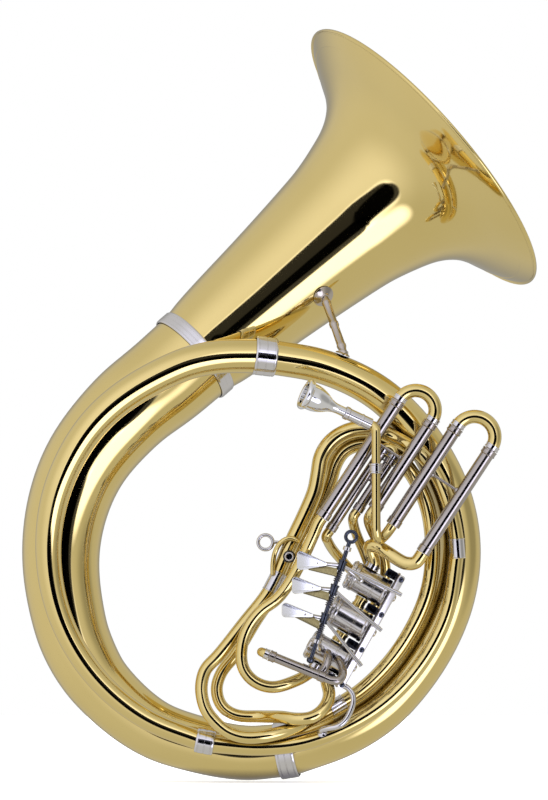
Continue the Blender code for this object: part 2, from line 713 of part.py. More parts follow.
def make_spring(number):
    """A coil round the axle beside its hub, with a straight lead at each end."""
    tag = str(number + 1)
    along = (axle_point(1) - axle_point(0)).normalized()
    across = Vector((0, 1, 0))
    third = along.cross(across)
    start = hub_place(number) + along * (HUB_LENGTH / 2 + 0.5) * MM
    coil = (AXLE_RADIUS + SPRING_WIRE + 0.5) * MM
    lead = 2 * SPRING_WIRE
    centre_line = [start + across * coil]
    for step in range(SPRING_TURNS * SPRING_POINTS + 1):
        turn = 2 * math.pi * step / SPRING_POINTS
        rise = lead + SPRING_PITCH * step / SPRING_POINTS
        out = across * math.cos(turn) + third * math.sin(turn)
        centre_line.append(start + along * rise * MM + out * coil)
    centre_line.append(centre_line[-1] + along * lead * MM)
    tube("spring_" + tag, [(place, SPRING_WIRE * MM) for place in centre_line], "spring_steel", 1)
    least = min(
        (a - b).length
        for n, a in enumerate(centre_line)
        for b in centre_line[n + SPRING_POINTS - 2:]
    )
    print("spring %s: least gap between turns %.2f mm" % (tag, least / MM - 2 * SPRING_WIRE))


def make_axle():
    """The axle: a rod with a ring at its top to pull it out by, and a turned foot."""
    along = (axle_point(1) - axle_point(0)).normalized()
    length = (axle_point(1) - axle_point(0)).length / MM
    rod = [
        (0, 0), (AXLE_RADIUS, 0), (AXLE_RADIUS, -length),
        *((radius, -length - below) for radius, below in AXLE_FOOT_SHAPE),
    ]
    axle = lathe("lever_axle", rod, axle_point(0), -along, "nickel_silver", SMALL_SIDES)
    ring = ring_of("axle_ring", AXLE_RING_RADIUS, AXLE_RING_WIRE)
    aim(ring, axle_point(0) - along * AXLE_RING_RADIUS * MM, Vector((0, -1, 0)), Vector((1, 0, 0)))
    joined(axle, [ring])


def ring_of(name, radius, wire):
    """A plain ring with this radius to its wire's centre, lying in its own XY plane."""
    bpy.ops.mesh.primitive_torus_add(
        major_segments=RING_SIDES, minor_segments=8, major_radius=radius * MM, minor_radius=wire * MM
    )
    made = bpy.context.object
    made.name = made.data.name = name
    for found in list(made.users_collection):
        found.objects.unlink(made)
    HELICON.objects.link(made)
    made.data.materials.append(material("nickel_silver"))
    return made


def slide_frame(name):
    """The pull direction, and the tops of the left and right legs."""
    slide = SLIDES[name]
    turn = math.radians(slide.spread)
    spread = in_plane(slide.lean - 90) * math.cos(turn) + AWAY * math.sin(turn)
    left = point(slide.top[0], slide.depth, slide.top[1])
    return in_plane(slide.lean), left, left + spread * slide.spacing * MM


def sleeve_foot(name, side, gap=FOOT_GAP):
    """Where a crook meets the sleeve's lower end, and the way the tube runs there."""
    pull, *tops = slide_frame(name)
    return tops[side] - pull * (SLIDES[name].sleeves[side] + gap) * MM, -pull


def make_slide(name, tails=()):
    """A U of inner legs with a bow, running in two outer sleeves that a brace holds together."""
    pull, left, right = slide_frame(name)
    across = (right - left).normalized()
    spacing, radius, lengths = SLIDES[name][-3:]
    half = spacing / 2 * MM
    inner = (radius - SLIDE_WALL - SLIDE_CLEARANCE) * MM
    inside = min(LEG_INSIDE, min(lengths) - LEG_MARGIN) * MM
    short, tall = pull * SHOULDER[0] * MM, pull * SHOULDER[1] * MM
    legs = [(left - pull * inside, inner), (left - short, inner)]
    ends = [(right - short, inner), (right - pull * inside, inner)]
    bow = [(left + tall, radius * MM)]
    for step in range(BOW_STEPS + 1):
        turn = math.pi * step / BOW_STEPS
        place = (left + right) / 2 + (pull * math.sin(turn) - across * math.cos(turn)) * half
        bow.append((place + pull * BOW_RISE * MM, radius * MM))
    bow.append((right + tall, radius * MM))
    tube(name + "_slide", legs + bow + ends, "lacquered_brass", 2)
    bore = (radius - SLIDE_WALL) / math.cos(math.pi / SLEEVE_SIDES)
    band = radius + BAND_RISE
    sleeves = []
    for side, top in enumerate((left, right)):
        foot = -lengths[side]
        profile = [
            (band, -SLEEVE_TOP), (band, -BAND_END), (radius, -BAND_END - BAND_RISE), (radius, foot),
            (bore, foot), (bore, -SLEEVE_TOP),
        ]
        tag = "%s_sleeve_%d" % (name, side)
        sleeves.append(lathe(tag, profile, top, pull, "nickel_silver", SLEEVE_SIDES))
    rung = [
        place - pull * min(lengths) * RUNG_SHARE * MM + across * reach * (radius - SLIDE_WALL / 2) * MM
        for place, reach in ((left, 1), (right, -1))
    ]
    brace = straight(name + "_rung", rung[0], rung[1], RUNG_RADIUS * MM, "nickel_silver")
    joined(sleeves[0], [sleeves[1], brace, *tails]).name = name + "_slide_sleeves"


def casing_side(number, along, side, gap=0.35):
    """A point just off a casing's waist, this far along its axis, and the outward direction there."""
    axis = in_plane(VALVE_AXIS_DEG)
    return valve_centre(number) + axis * along * MM + side * (CASING_RADIUS - 1 + gap) * MM, side


def bend(start, start_way, end, end_way, reach, steps=10):
    """Points of a smooth bend that leaves start along start_way and arrives at end against end_way."""
    handles = (start, start + start_way * reach[0] * MM, end + end_way * reach[1] * MM, end)
    found = []
    for step in range(steps + 1):
        t = step / steps
        weights = ((1 - t) ** 3, 3 * t * (1 - t) ** 2, 3 * t * t * (1 - t), t**3)
        found.append(sum((w * h for w, h in zip(weights, handles)), Vector((0, 0, 0))))
    return found


def crook(name, start, way, knots, end, out, radius):
    """A bent tube whose ends run straight, square to what they meet."""
    near, far = END_STRAIGHT[0] * MM, END_STRAIGHT[1] * MM
    route = [start + way * near, start + way * far, *(point(*knot) for knot in knots)]
    route += [end + out * far, end + out * near]
    stations = smooth([(place, radius * MM) for place in route], 2)
    return tube(name, [(start, radius * MM), *stations, (end, radius * MM)], "lacquered_brass", 2)


def make_crooks():
    """The main slide into the first casing, and the first and third slides into the casings' backs."""
    above = -in_plane(VALVE_ROW_DEG)
    main = SLIDES["main"].radius
    crook("main_crook", *sleeve_foot("main", 1), MAIN_CROOK, *casing_side(0, MAIN_CROOK_SEAT, above), main)
    for side, tag, route in ((0, "left", FIRST_CROOK_LEFT), (1, "right", FIRST_CROOK_RIGHT)):
        seat = casing_side(0, FIRST_CROOK_SEATS[side], AWAY)
        crook("first_crook_" + tag, *sleeve_foot("first", side), route, *seat, SLIDES["first"].radius)
    seat = casing_side(1, THIRD_CROOK_SEAT, AWAY)
    crook("third_crook", *sleeve_foot("third", 1), THIRD_CROOK, *seat, CROOK_RADIUS)


def low_slide_tails():
    """The second slide's sleeves run on into the third casing's front."""
    radius = SLIDES["second"].radius - TAIL_STEP
    front, back = sleeve_foot("second", 0, -TAIL_OVERLAP), sleeve_foot("second", 1, -TAIL_OVERLAP)
    return (
        crook("front_tail", *front, FRONT_TAIL, *casing_side(2, FRONT_TAIL_SEAT, TOWARDS), radius),
        crook("back_tail", *back, BACK_TAIL, *casing_side(2, BACK_TAIL_SEAT, TOWARDS), radius),
    )


def make_valve_loop():
    """From the third slide's left sleeve, round the lower left, into the third casing from below."""
    below = in_plane(VALVE_ROW_DEG)
    seat = casing_side(2, VALVE_LOOP_SEAT, below)
    crook("valve_loop", *sleeve_foot("third", 0), VALVE_LOOP, *seat, LOOP_RADIUS)


def make_mouthpiece():
    axis = Vector(MOUTHPIECE_AXIS).normalized()
    place = point(*MOUTHPIECE_PLACE)
    lathe("mouthpiece", MOUTHPIECE_OUTSIDE + MOUTHPIECE_BORE, place, axis, "silver_plate")
    bore = (LEADPIPE_RADIUS + RECEIVER_CLEARANCE) / math.cos(math.pi / TURNED_SIDES)
    wall = bore + RECEIVER_WALL
    low, high = -RECEIVER_OVERLAP, RECEIVER_LENGTH
    lip, lip_end = wall + RECEIVER_LIP, high - RECEIVER_LIP_LENGTH
    sleeve = [(lip, high), (lip, lip_end), (wall, lip_end - RECEIVER_LIP_SLOPE), (wall, low)]
    sleeve += [(bore, low), (bore, high)]
    lathe("mouthpiece_receiver", sleeve, place, axis, "nickel_silver")
    low_end = place - axis * (RECEIVER_OVERLAP + 1) * MM
    top = Vector((LEADPIPE_X * MM, LEADPIPE_DEPTH * MM, low_end.z - PIPE_BEND_DROP * MM))
    pipe = [place + axis * SHANK_GAP * MM, *bend(low_end, -axis, top, UP, PIPE_BEND_REACH, 6)]
    pipe.append(point(LEADPIPE_X, LEADPIPE_DEPTH, CLAMP_HEIGHT + PIPE_GAP))
    tube("mouthpipe", [(knot, LEADPIPE_RADIUS * MM) for knot in pipe], "lacquered_brass", 2)


def make_leadpipe():
    """From the clamp straight down, then round a bend into the main slide's left leg."""
    top = point(LEADPIPE_X, LEADPIPE_DEPTH, CLAMP_HEIGHT - PIPE_GAP)
    low = point(LEADPIPE_X, LEADPIPE_DEPTH, CLAMP_HEIGHT - LEADPIPE_DROP)
    foot, way = sleeve_foot("main", 0)
    turn = bend(low, -UP, foot, way, LEADPIPE_TURN_REACH, LEADPIPE_TURN_STEPS)
    stations = [(top, LEADPIPE_RADIUS * MM)]
    for step, knot in enumerate(turn):
        growth = (CROOK_RADIUS - LEADPIPE_RADIUS) * step / LEADPIPE_TURN_STEPS
        stations.append((knot, (LEADPIPE_RADIUS + growth) * MM))
    tube("leadpipe", stations, "lacquered_brass", 2)
    inside = LEADPIPE_RADIUS + CLAMP_CLEARANCE
    outside = inside + CLAMP_WALL
    band = [(outside, CLAMP_HALF), (outside, -CLAMP_HALF), (inside, -CLAMP_HALF), (inside, CLAMP_HALF)]
    place = point(LEADPIPE_X, LEADPIPE_DEPTH, CLAMP_HEIGHT)
    lathe("mouthpipe_clamp", band, place, UP, "nickel_silver", SLEEVE_SIDES)


def make_connectors():
    row = in_plane(VALVE_ROW_DEG)
    for number in range(2):
        start, _ = casing_side(number, 0, row)
        end, _ = casing_side(number + 1, 0, -row)
        straight("connector_%d" % (number + 1), start, end, CONNECTOR_RADIUS * MM, "lacquered_brass", 4)


def make_valve_plate():
    """A strip over the casings' linkage ends with a hole for each shaft, and posts towards the viewer."""
    axis, row = in_plane(VALVE_AXIS_DEG), in_plane(VALVE_ROW_DEG)
    reach = VALVE_PITCH * 2 + STRIP_MARGIN
    half = STRIP_HALF_WIDE
    corners = [(-half, -STRIP_MARGIN), (half, -STRIP_MARGIN), (half, reach), (-half, reach)]
    outline = rounded(corners, [STRIP_CORNER] * 4, 2)
    holes = [(0, VALVE_PITCH * number, SHAFT_RADIUS + STRIP_CLEARANCE) for number in range(3)]
    strip = flat_plate("valve_plate", outline, STRIP_THICK, "nickel_silver", holes)
    across = row.cross(axis)
    turned = Matrix((across, row, across.cross(row))).transposed().to_4x4()
    place = valve_centre(0) + axis * (CASING_HALF + SEAT_GAP + STRIP_THICK / 2) * MM
    strip.matrix_world = Matrix.Translation(place) @ turned
    posts = []
    for number in range(POSTS):
        foot = post_place(number)
        start, end = Vector((foot.x, POST_BACK * MM, foot.z)), Vector((foot.x, POST_FRONT * MM, foot.z))
        posts.append(straight("post_%d" % number, start, end, POST_RADIUS * MM, "nickel_silver"))
    joined(strip, posts)


def make_bracket():
    """A bar behind the axle with an eye at each end, and two legs down to the casings."""
    along = (axle_point(1) - axle_point(0)).normalized()
    back = point(0, BRACKET_DEPTH - AXLE_DEPTH, 0)
    bore = AXLE_RADIUS + EYE_CLEARANCE
    ends = [axle_point(share) for share in BRACKET_ENDS]
    beyond = along * BRACKET_OVERRUN * MM
    high, low = ends[0] + back - beyond, ends[1] + back + beyond
    bar = straight("axle_bracket", high, low, BRACKET_RADIUS * MM, "nickel_silver")
    half = EYE_LENGTH / 2
    ring = [(EYE_RADIUS, half), (EYE_RADIUS, -half), (bore, -half), (bore, half)]
    pieces = []
    for number, eye in enumerate(ends):
        pieces.append(lathe("eye_%d" % number, ring, eye, along, "nickel_silver", SMALL_SIDES))
        start = eye + AWAY * (EYE_RADIUS - STALK_SINK) * MM
        pieces.append(straight("stalk_%d" % number, start, eye + back, STALK_RADIUS * MM, "nickel_silver"))
    for share, valve in BRACKET_LEGS:
        seat, out = casing_side(valve, BRACKET_LEG_SEAT, TOWARDS)
        leg = [axle_point(share) + back, seat + out * BRACKET_LEG_STRAIGHT * MM, seat]
        stations = [(knot, BRACKET_LEG_RADIUS * MM) for knot in leg]
        pieces.append(tube("leg_%d" % valve, stations, "nickel_silver", 2))
    joined(bar, pieces)


def make_thumb_ring():
    """A ring on a short stem from the outer turn."""
    made = ring_of("thumb_ring", THUMB_RING_RADIUS, THUMB_RING_WIRE)
    centre = point(*THUMB_RING_PLACE)
    aim(made, centre, Vector((0, 1, 0)), Vector((1, 0, 0)))
    foot = centre + point(THUMB_STEM, 0, -THUMB_STEM_DROP)
    start = centre + point(THUMB_RING_RADIUS, 0, 0)
    joined(made, [straight("stem", start, foot, THUMB_RING_WIRE * MM, "nickel_silver")])


def ring_surface(rows, angle, turn_degrees=0):
    """A point on a branch, turned from its outermost side towards the viewer, and its outward way."""
    centre, ahead = point(RING_X, 0, RING_Z), in_plane(angle + 90)
    stations = smooth(ring_stations(rows), 2)

    def missed(stretch):
        before, after = ((place - centre).dot(ahead) for place, _ in stretch)
        behind = (centre - stretch[0][0]).dot(in_plane(angle))
        return max(before, 0) + max(-after, 0) + max(behind, 0)

    (here, bore), (there, next_bore) = min(zip(stations, stations[1:]), key=missed)
    along = there - here
    share = (centre - here).dot(ahead) / along.dot(ahead)
    middle = here + along * share
    radius = bore + (next_bore - bore) * share
    turn = math.radians(turn_degrees)
    out = in_plane(angle) * math.cos(turn) + TOWARDS * math.sin(turn)
    out = (out - out.project(along)).normalized()
    return middle + out * (radius + BRACE_GAP * MM), out


def bell_surface(distance, turn_degrees):
    """A point on the bell, turned from its lower side towards the viewer, and its outward way."""
    axis = bell_axis()
    profile = bell_profile(BELL_STEM_SHAPE)
    for (before, small), (after, large) in zip(profile, profile[1:]):
        if before <= distance <= after:
            slope = (large - small) / (after - before)
            radius = small + slope * (distance - before)
    front = (TOWARDS - TOWARDS.project(axis)).normalized()
    turn = math.radians(turn_degrees)
    side = axis.cross(front) * math.cos(turn) + front * math.sin(turn)
    out = (side - axis * slope).normalized()
    return point(*BELL_START) + (axis * distance + side * radius + out * BRACE_GAP) * MM, out


def make_bell_brace():
    """A rod with a round foot on the bell and a smaller one on the big bow."""
    ends, feet = [], []
    for (seat, out), wide in (
        (bell_surface(BELL_BRACE_DISTANCE, BELL_BRACE_TURN_DEG), BELL_FOOT_RADIUS),
        (ring_surface(BIG_BOW, BELL_BRACE_RING_DEG), RING_FOOT_RADIUS),
    ):
        neck = (BELL_BRACE_RADIUS + FOOT_NECK, FOOT_THICK * 1.5)
        profile = [(0, FOOT_THICK * 2), neck, (wide, FOOT_THICK / 2), (wide, 0), (0, 0)]
        feet.append(lathe("foot", profile, seat, out, "nickel_silver", SLEEVE_SIDES))
        ends.append(seat + out * FOOT_THICK * 1.2 * MM)
    rod = straight("bell_brace", ends[0], ends[1], BELL_BRACE_RADIUS * MM, "nickel_silver", 3)
    joined(rod, feet)


def post_place(number):
    """Where a post's middle line crosses the casings' own plane."""
    along = in_plane(VALVE_ROW_DEG) * VALVE_PITCH * (number - 0.5)
    return valve_centre(0) + (along + in_plane(VALVE_AXIS_DEG) * POST_HEIGHT) * MM


def make_bottom_brace():
    """A bent rod from the last post to the inner branch, square to what it meets at both ends."""
    way = in_plane(VALVE_AXIS_DEG)
    top = post_place(POSTS - 1) + way * (POST_RADIUS + BRACE_GAP) * MM
    top.y = BOTTOM_BRACE_DEPTH * MM
    seat, out = ring_surface(INNER_BRANCH, BOTTOM_BRACE_RING_DEG, BOTTOM_BRACE_TURN_DEG)
    near, far = END_STRAIGHT[0] * MM, BOTTOM_BRACE_STRAIGHT * MM
    route = [top + way * near, top + way * 2 * near, *(point(*knot) for knot in BOTTOM_BRACE_KNOTS)]
    route += [seat + out * far, seat + out * near]
    radius = BOTTOM_BRACE_RADIUS * MM
    stations = smooth([(place, radius) for place in route], 2)
    tube("bottom_brace", [(top, radius), *stations, (seat, radius)], "nickel_silver", 2)


clear_scene()
HELICON = new_collection("helicon")
CUTTERS = new_collection("cutters")
CUTTERS.hide_render = True
make_bell()
make_branches()
make_turns()
for valve in range(3):
    make_valve(valve)
    make_lever(valve)
    make_spring(valve)
make_axle()
for slide_name in ("main", "third", "first"):
    make_slide(slide_name)
make_slide("second", low_slide_tails())
make_crooks()
make_valve_loop()
make_valve_plate()
make_bracket()
make_mouthpiece()
make_leadpipe()
make_connectors()
make_thumb_ring()
make_bell_brace()
make_bottom_brace()
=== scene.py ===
"""Helicon: the fine shapes and finishes of a circular brass horn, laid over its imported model.

Metres, +Z up, the viewer on the -Y side. Tables of places and profiles are in millimetres.
"""

import math
from collections import namedtuple

import bmesh
import bpy
from mathutils import Matrix, Vector


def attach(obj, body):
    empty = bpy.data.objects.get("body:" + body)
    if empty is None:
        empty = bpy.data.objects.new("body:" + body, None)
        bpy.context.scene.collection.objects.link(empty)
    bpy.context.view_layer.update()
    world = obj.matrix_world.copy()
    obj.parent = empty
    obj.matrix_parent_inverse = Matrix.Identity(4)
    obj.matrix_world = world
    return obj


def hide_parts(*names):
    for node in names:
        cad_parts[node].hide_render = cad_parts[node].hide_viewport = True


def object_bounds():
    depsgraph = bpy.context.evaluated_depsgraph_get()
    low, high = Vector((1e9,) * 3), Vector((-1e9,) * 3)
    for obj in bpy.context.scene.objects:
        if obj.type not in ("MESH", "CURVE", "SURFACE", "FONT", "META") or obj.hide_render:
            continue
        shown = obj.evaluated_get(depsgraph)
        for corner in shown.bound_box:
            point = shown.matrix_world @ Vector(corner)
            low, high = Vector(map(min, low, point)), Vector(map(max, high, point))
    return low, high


bl_info = {
    "name": "Helicon",
    "version": (1, 1, 0),
    "blender": (4, 5, 0),
    "location": "View3D > Sidebar > Helicon",
    "description": "Tubing, ferrules, valves, slides and studio of a helicon",
    "category": "Object",
}

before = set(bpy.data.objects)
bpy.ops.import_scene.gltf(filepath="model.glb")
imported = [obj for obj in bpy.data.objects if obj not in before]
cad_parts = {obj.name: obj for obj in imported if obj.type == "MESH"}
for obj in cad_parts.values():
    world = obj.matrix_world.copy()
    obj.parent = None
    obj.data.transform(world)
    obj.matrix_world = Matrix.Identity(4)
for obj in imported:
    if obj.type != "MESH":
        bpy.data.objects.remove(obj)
CAD_BOX = [list(corner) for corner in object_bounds()]
MM = 0.001

# The big ring: its centre, and its branches as (angle, radius, depth, bore radius)
RING_X = -68.4
RING_Z = -202.8
BELL_BRANCH = [
    (131, 213.6, 0, 54.5), (155, 215.4, 0, 51.0), (180, 219.6, 0, 47.0), (204, 228.7, 0, 44.0),
    (215, 235.2, 0, 41.8), (225, 240.0, 0, 38.5), (243, 246.0, 0, 35.4), (256, 245.5, 0, 34.4),
    (270, 249.6, -1, 33.0), (281, 251.0, -4, 32.2),
]
BIG_BOW = [
    (283, 251.4, -5, 32.0), (300, 254.4, -10, 30.3), (315, 256.8, -15, 28.8), (340, 259.2, -22, 27.0),
    (360, 261.0, -27, 25.2), (380, 255.6, -32, 23.6), (405, 247.2, -42, 21.4), (425, 236.4, -55, 20.8),
    (442.4, 229.0, -63, 20.6),
]
SECOND_BRANCH = [
    (444.4, 229.0, -64, 20.6), (458, 228.8, -72, 20.2), (470, 228.8, -77, 19.8), (497, 231.6, -79, 18.6),
    (520, 232.6, -76, 17.2), (540, 233.4, -68, 15.6), (560, 235.0, -64, 14.4), (580, 236.4, -62, 13.5),
    (600, 238.0, -60, 12.6), (618, 238.8, -58, 12.0),
]
INNER_BRANCH = [
    (620, 238.8, -58, 11.9), (635, 241.5, -58, 10.6), (650, 247.2, -60, 9.9), (675, 254.4, -63, 9.0),
    (700, 258.0, -66, 8.7), (719, 256.8, -68, 8.5),
]

# The turns inside the ring, as (x, depth, z, bore radius)
OUTER_TURN = [
    (188.3, -68, -205.4, 8.5), (187, -68, -190, 8.5), (179, -69, -154, 8.6), (163, -68, -116, 8.8),
    (144, -68, -92, 9.2), (130, -64, -83, 9.4), (116, -58, -75, 9.6), (98, -56, -66, 10.0),
    (80, -56, -62, 10.0), (58, -56, -65, 10.0), (38, -57, -77, 10.0), (26, -59, -95, 9.8),
    (22, -61, -116, 9.6), (18, -62, -136, 9.5), (10, -62, -156, 9.4), (-12, -62, -202, 9.0),
    (-36, -63, -256, 8.6), (-66, -66, -294, 8.3), (-98, -70, -334, 7.9), (-113, -74, -350, 7.7),
    (-118, -76, -368, 7.6), (-117, -78, -384, 7.5), (-112, -79, -399, 7.5), (-102, -79, -412, 7.5),
    (-86, -79, -425, 7.5), (-66, -79, -431, 7.7), (-38, -77, -429, 8.0), (-6, -65, -420, 8.2),
    (19, -52, -408, 8.4), (44, -45, -394, 8.6),
]
INNER_TURN = [
    (74, -44, -375, 8.8), (103, -47, -347, 9.0), (128, -49, -313, 9.2), (152, -51, -262, 9.4),
    (159, -52, -214, 9.4), (154, -52, -160, 9.4), (138, -50, -122, 9.4), (119, -46, -98, 9.4),
    (96, -42, -83, 9.4), (72, -40, -80, 9.4), (53, -39, -88, 9.2), (42, -38, -104, 9.2),
    (36, -38, -124, 9.0), (28, -38, -146, 8.8), (4, -38, -192, 8.6), (-22, -38, -246, 8.2),
    (-52, -40, -290, 7.8), (-78, -44, -334, 7.4), (-94, -48, -354, 7.2), (-100, -50, -374, 7.2),
    (-94, -51, -394, 7.2), (-78, -52, -405, 7.2), (-48, -53, -407, 7.4), (-22, -72, -407, 7.6),
    (-4, -82, -409, 7.6), (14, -84, -407, 7.6), (28, -80, -397, 7.6), (35, -72, -381, 7.6),
]
INNER_TURN_SEAT = 9

# The third valve's loop and the crooks, as (x, depth, z)
VALVE_LOOP = [
    (17, -90, -186), (4, -88, -215), (-12, -86, -245), (-28, -84, -266), (-46, -84, -279), (-62, -84, -299),
    (-70, -84, -325), (-68, -84, -348), (-55, -84, -364), (-34, -84, -371), (-12, -81, -366),
]
LOOP_RADIUS = 7.2
MAIN_CROOK = [
    (139, -90, -221), (134, -89, -223), (129, -88, -223), (124, -87, -222), (106, -81, -211), (92, -74, -203),
    (83, -68, -203),
]
FIRST_CROOK_LEFT = [(33, -72, -196), (40, -52, -208), (53, -33, -223), (66, -26, -237)]
FIRST_CROOK_RIGHT = [(64, -70, -176), (69, -50, -192), (78, -33, -213), (86, -26, -237)]
THIRD_CROOK = [(82, -78, -171), (86, -60, -183), (95, -38, -202), (103, -24, -232), (92, -20, -272), (75, -24, -289)]
FRONT_TAIL = [(46, -113, -362), (51, -106, -355), (50, -97, -346)]
BACK_TAIL = [(25, -99, -353), (31, -98, -345), (33, -94, -336)]

# The bell, as (share of its length, share of its flare)
BELL_START = (-129.6, 24, 24)
BELL_RISE_DEG = 41
BELL_AWAY_DEG = 13
BELL_FOOT = 8
BELL_LENGTH = 372.6
BELL_THROAT_RADIUS = 58
BELL_MOUTH_RADIUS = 197.4
BELL_SHAPE = [
    (0, 0), (0.024, 0.010), (0.059, 0.028), (0.177, 0.066), (0.292, 0.097), (0.424, 0.137), (0.598, 0.198),
    (0.650, 0.221), (0.730, 0.277), (0.819, 0.362), (0.880, 0.479), (0.921, 0.624), (0.953, 0.789),
    (0.980, 0.918), (1, 1),
]
BELL_SEAM_SHARE = 0.65
STEM_LENGTH = 45

# Ferrules over the joints of the branches
FERRULE_WIDTH = {"bell_ferrule": 18, "bottom_ferrule": 22, "top_ferrule": 26, "lower_ferrule": 22}
FERRULE_CLEARANCE = {"bell_ferrule": 0.6, "bottom_ferrule": 0.9, "top_ferrule": 1.15, "lower_ferrule": 1.2}
FERRULE_WALL = 2.2

# The valve block
VALVE_ONE = (83.4, -62, -249.0)
VALVE_PITCH = 48
VALVE_AXIS_DEG = -29.4
VALVE_ROW_DEG = -119.4
CASING_RADIUS = 18
CASING_WALL = 3.2
CASING_HALF = 23
CAP_THICK = 6
SHAFT_RADIUS = 3.6
SHAFT_END = 30
STOP_ARM_REACH = 12
STOP_ARM_THICK = 3
LINK_RADIUS = 1.6
CONNECTOR_RADIUS = 7.2
CROOK_RADIUS = 6.4
STRIP_THICK = 3
STRIP_HALF_WIDE = 8
STRIP_MARGIN = 30
POSTS = 4
POST_RADIUS = 3.6
POST_FRONT = -90
POST_BACK = -58

# The levers, their axle and its bracket
AXLE_TOP = (58.8, -196.8)
AXLE_FOOT = (13.2, -334.8)
AXLE_DEPTH = -114
AXLE_RADIUS = 2.6
HUB_RADIUS = 5.4
HUB_LENGTH = 13
PLATE_DEPTH = -126
PLATES = [(-4, -204, -231, 38, -225), (-10, -235, -259, 32, -254), (-22, -266, -286, 26, -288)]
SPRING_WIRE = 0.6
SPRING_TURNS = 5
SPRING_PITCH = 2.4
BRACKET_DEPTH = -100
BRACKET_ENDS = (0.06, 0.86)

# The pull slides: the top of the first leg, depth, lean, turn of the second leg from beside to behind,
# leg spacing, tube radius and the two sleeves' lengths
Slide = namedtuple("Slide", "top depth lean spread spacing radius sleeves")
SLIDES = {
    "main": Slide((187, -60), -90, 56.8, 0, 48.6, 8.1, (140, 148)),
    "third": Slide((117.6, -28.4), -90, 56.8, 0, 46.5, 8.1, (167, 124)),
    "first": Slide((97.3, -89.7), -80, 56.8, 0, 14.4, 6, (112, 75)),
    "second": Slide((-37, -332), -114.6, 157.8, 90, 15.6, 5.5, (72, 50)),
}
SLIDE_WALL = 1.6
LEG_INSIDE = 58

# The leadpipe and the mouthpiece
LEADPIPE_X = 90.6
LEADPIPE_DEPTH = -108
LEADPIPE_RADIUS = 5.4
CLAMP_HEIGHT = -109.2
MOUTHPIECE_AXIS = (-0.885, -0.21, 0.414)
MOUTHPIECE_PLACE = (74.4, -108, -52.2)
MOUTHPIECE_OUTSIDE = [
    (16.5, 71), (15.8, 62), (13.9, 55.5), (11.5, 50), (8.6, 45), (7.0, 41), (6.0, 36), (5.8, 26), (5.6, 16), (5.2, 1),
]
MOUTHPIECE_RIM = [(13.0, 78), (14.2, 79.1), (16.0, 79.5), (17.8, 79.0), (19.0, 77.6), (19.3, 75.6), (18.8, 73.6), (17.4, 71.6)]
MOUTHPIECE_BORE = [(3.2, 1), (3.4, 24), (3.6, 40), (4.4, 46), (6.4, 51), (9.4, 56.5), (11.5, 62), (12.6, 70)]

# The thumb ring and the braces
THUMB_RING_PLACE = (-41.4, -64, -198)
THUMB_RING_RADIUS = 8.8
THUMB_RING_WIRE = 2.2
THUMB_STEM = 20.0
THUMB_GUARD = [
    (-1, -71, -197), (-12, -73, -193), (-23, -72, -198), (-30, -70, -210), (-32.5, -70, -224), (-32.5, -71, -237),
]
THUMB_BOSS = (-13, -72, -215)
BELL_BRACE_DISTANCE = 158
BELL_BRACE_TURN_DEG = 51
BELL_BRACE_RING_DEG = 422
BELL_BRACE_RADIUS = 4.5
BELL_FOOT_RADIUS = 13
RING_FOOT_RADIUS = 9
FOOT_THICK = 3
BOTTOM_BRACE_RADIUS = 3.4
BOTTOM_BRACE_DEPTH = -78
BOTTOM_BRACE_RING_DEG = 653
BOTTOM_BRACE_TURN_DEG = 125
BOTTOM_BRACE_KNOTS = [(64, -79, -382), (60, -80, -401), (48, -82, -417)]

# What the metal mirrors, as (azimuth right of the viewer, height angle, full and outer spread, strength), in degrees
BRIGHT_PANELS = [
    (-10, 20, 10, 70, 0.30), (32, -27, 12, 21, 1.6), (-70, 15, 30, 100, 0.12), (8, 0, 19, 26, 1.1), (20, 24, 6, 16, 0.4),
]
DARK_PANELS = [
    (6, 2, 18.5, 20.5, 0.985), (20, -5, 10, 13, 0.97), (1, -8, 12, 15, 0.97), (180, 0, 15, 50, 0.4),
    (78, 5, 12, 35, 0.4),
]
WALL_TONE = (1.0, 0.99, 0.96)
# Painted shade: metal in narrow gaps is darkened in its colour where shade falls: how far off (mm) another surface
# makes a gap, and the tint there
PAINTED_SHADE_REACH = 22
PAINTED_SHADE_TINT = (0.25, 0.24, 0.30)
PANEL_TONE = (1.0, 1.03, 1.45)

NICKEL, BRASS, SILVER, STEEL = "nickel_silver", "lacquered_brass", "silver_plate", "spring_steel"


class HeliconFinish(bpy.types.PropertyGroup):
    """Colours and polish of the metals"""

    brass_colour: bpy.props.FloatVectorProperty(
        name="Brass", description="Colour of the lacquered brass", subtype="COLOR", default=(0.87, 0.69, 0.27)
    )
    nickel_colour: bpy.props.FloatVectorProperty(
        name="Nickel silver", description="Colour of ferrules, sleeves and valves", subtype="COLOR",
        default=(0.79, 0.77, 0.76),
    )
    silver_colour: bpy.props.FloatVectorProperty(
        name="Silver plate", description="Colour of the mouthpiece", subtype="COLOR", default=(0.92, 0.92, 0.92)
    )
    steel_colour: bpy.props.FloatVectorProperty(
        name="Steel", description="Colour of the springs", subtype="COLOR", default=(0.20, 0.20, 0.22)
    )
    polish: bpy.props.FloatProperty(
        name="Polish", description="Roughness of the polished brass", subtype="FACTOR", default=0.05, min=0.01, max=0.5
    )
    lacquer: bpy.props.FloatProperty(
        name="Lacquer", description="Weight of the clear lacquer", subtype="FACTOR", default=0.4, min=0, max=1
    )


